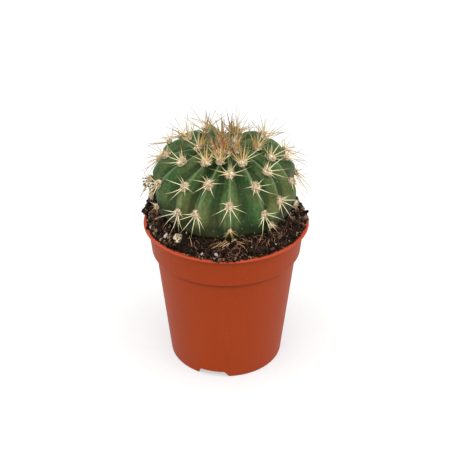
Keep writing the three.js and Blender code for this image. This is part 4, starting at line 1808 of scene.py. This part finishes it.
def make_grains():
    """White perlite, some of it where the photo shows it."""
    model = make_crumb("grain_model", cuts=2, jitter=0.25, seed=21)
    wear(perlite(), model)
    # Grains of the photo: azimuth, radius in millimetres, and size.
    shown = (
        (-50.5, 24.7, 0.95),
        (-7, 25, 0.65),
        (-17.5, 25.2, 0.5),
        (-14, 24.9, 0.3),
        (21, 20.4, 0.4),
        (24, 24.4, 0.35),
        (38.6, 24.8, 0.5),
        (-72, 25.6, 0.6),
        (-26, 24.6, 0.3),
    )
    places = [(*row, Grain.shown_lift) for row in shown]
    for count in range(Grain.strewn):
        radius = between(*Grain.radii, draw(count + 4100))
        size = between(*Grain.sizes, draw(count + 4200) ** 2)
        places.append((360 * draw(count + 4000), radius, size, Grain.lift))
    grains = []
    for count, (azimuth, radius, size, lift) in enumerate(places):
        place = on_soil(math.radians(azimuth), radius * MM, (lift + Grain.rise * size) * MM)
        placing = Matrix.Translation(place) @ any_turn(count + 4300) @ Matrix.Scale(size, 4)
        grains.append(copy_of(model, placing, 0))
    hand_in(join("perlite_grains", grains), "peat")
    discard(model)


def make_husk():
    """The pale knobbly husk at the left front."""
    foot = on_soil(Husk.azimuth, Husk.radius, Husk.lift)
    lumps = []
    for count, (aside, back, up, radius) in enumerate(Husk.knobs):
        bpy.ops.mesh.primitive_ico_sphere_add(subdivisions=4, radius=radius * MM)
        lump = bpy.context.object
        lump.location = foot + Vector((aside, back, up)) * MM
        lump.rotation_euler = (count, 2 * count, 0)
        settle(lump, "knob")
        roughen(lump, Husk.grain, Husk.relief)
        lumps.append(lump)
    husk = join("dry_husk", lumps)
    smooth(husk)
    wear(dry_husk(), husk)
    hand_in(husk, "peat")


# The studio

class View:
    elevation = math.radians(29.5)
    distance = 300 * MM
    lens = 72
    clip_start = 10 * MM
    aim = Vector((-0.4 * MM, 0, RIM - 2.5 * MM))


class Studio:
    floor = 8
    # Each softbox: its name, its place and its side in metres, and its power in watts.
    softboxes = (
        ("soft_top", (0, -0.7, 2.2), 2.4, 55),
        ("soft_left", (-1.6, -0.5, 1.0), 1.2, 6),
        ("soft_right", (1.6, -0.5, 1.0), 1.2, 9),
    )
    room_light = 0.9


def put_up(name, data, place, target):
    """Adds a lamp or a camera that looks from a place at a target."""
    made = bpy.data.objects.new(name, data)
    bpy.context.scene.collection.objects.link(made)
    made.location = place
    made.rotation_mode = "QUATERNION"
    made.rotation_quaternion = (target - made.location).to_track_quat("-Z", "Y")
    return made


def set_camera():
    data = bpy.data.cameras.new("camera")
    data.lens = View.lens
    data.clip_start = View.clip_start
    back = Vector((0, -math.cos(View.elevation), math.sin(View.elevation)))
    place = Vector((0, 0, RIM)) + back * View.distance
    bpy.context.scene.camera = put_up("camera", data, place, View.aim)


def make_studio():
    bpy.ops.mesh.primitive_plane_add(size=Studio.floor, location=(0, 0, 0))
    floor = settle(bpy.context.object, "studio_floor")
    wear(studio_paper(), floor)
    for name, place, side, power in Studio.softboxes:
        data = bpy.data.lights.new(name, "AREA")
        data.shape = "SQUARE"
        data.size = side
        data.energy = power
        put_up(name, data, place, Vector((0, 0, RIM)))
    world = bpy.data.worlds.new("white_room")
    bpy.context.scene.world = world
    world.use_nodes = True
    background = world.node_tree.nodes["Background"]
    background.inputs["Color"].default_value = (1, 1, 1, 1)
    background.inputs["Strength"].default_value = Studio.room_light
    bpy.context.scene.view_settings.view_transform = "Standard"


set_camera()
make_studio()
make_pot()
make_body()
make_spiny_pieces()
make_soil()
make_fibres()
make_grains()
make_husk()
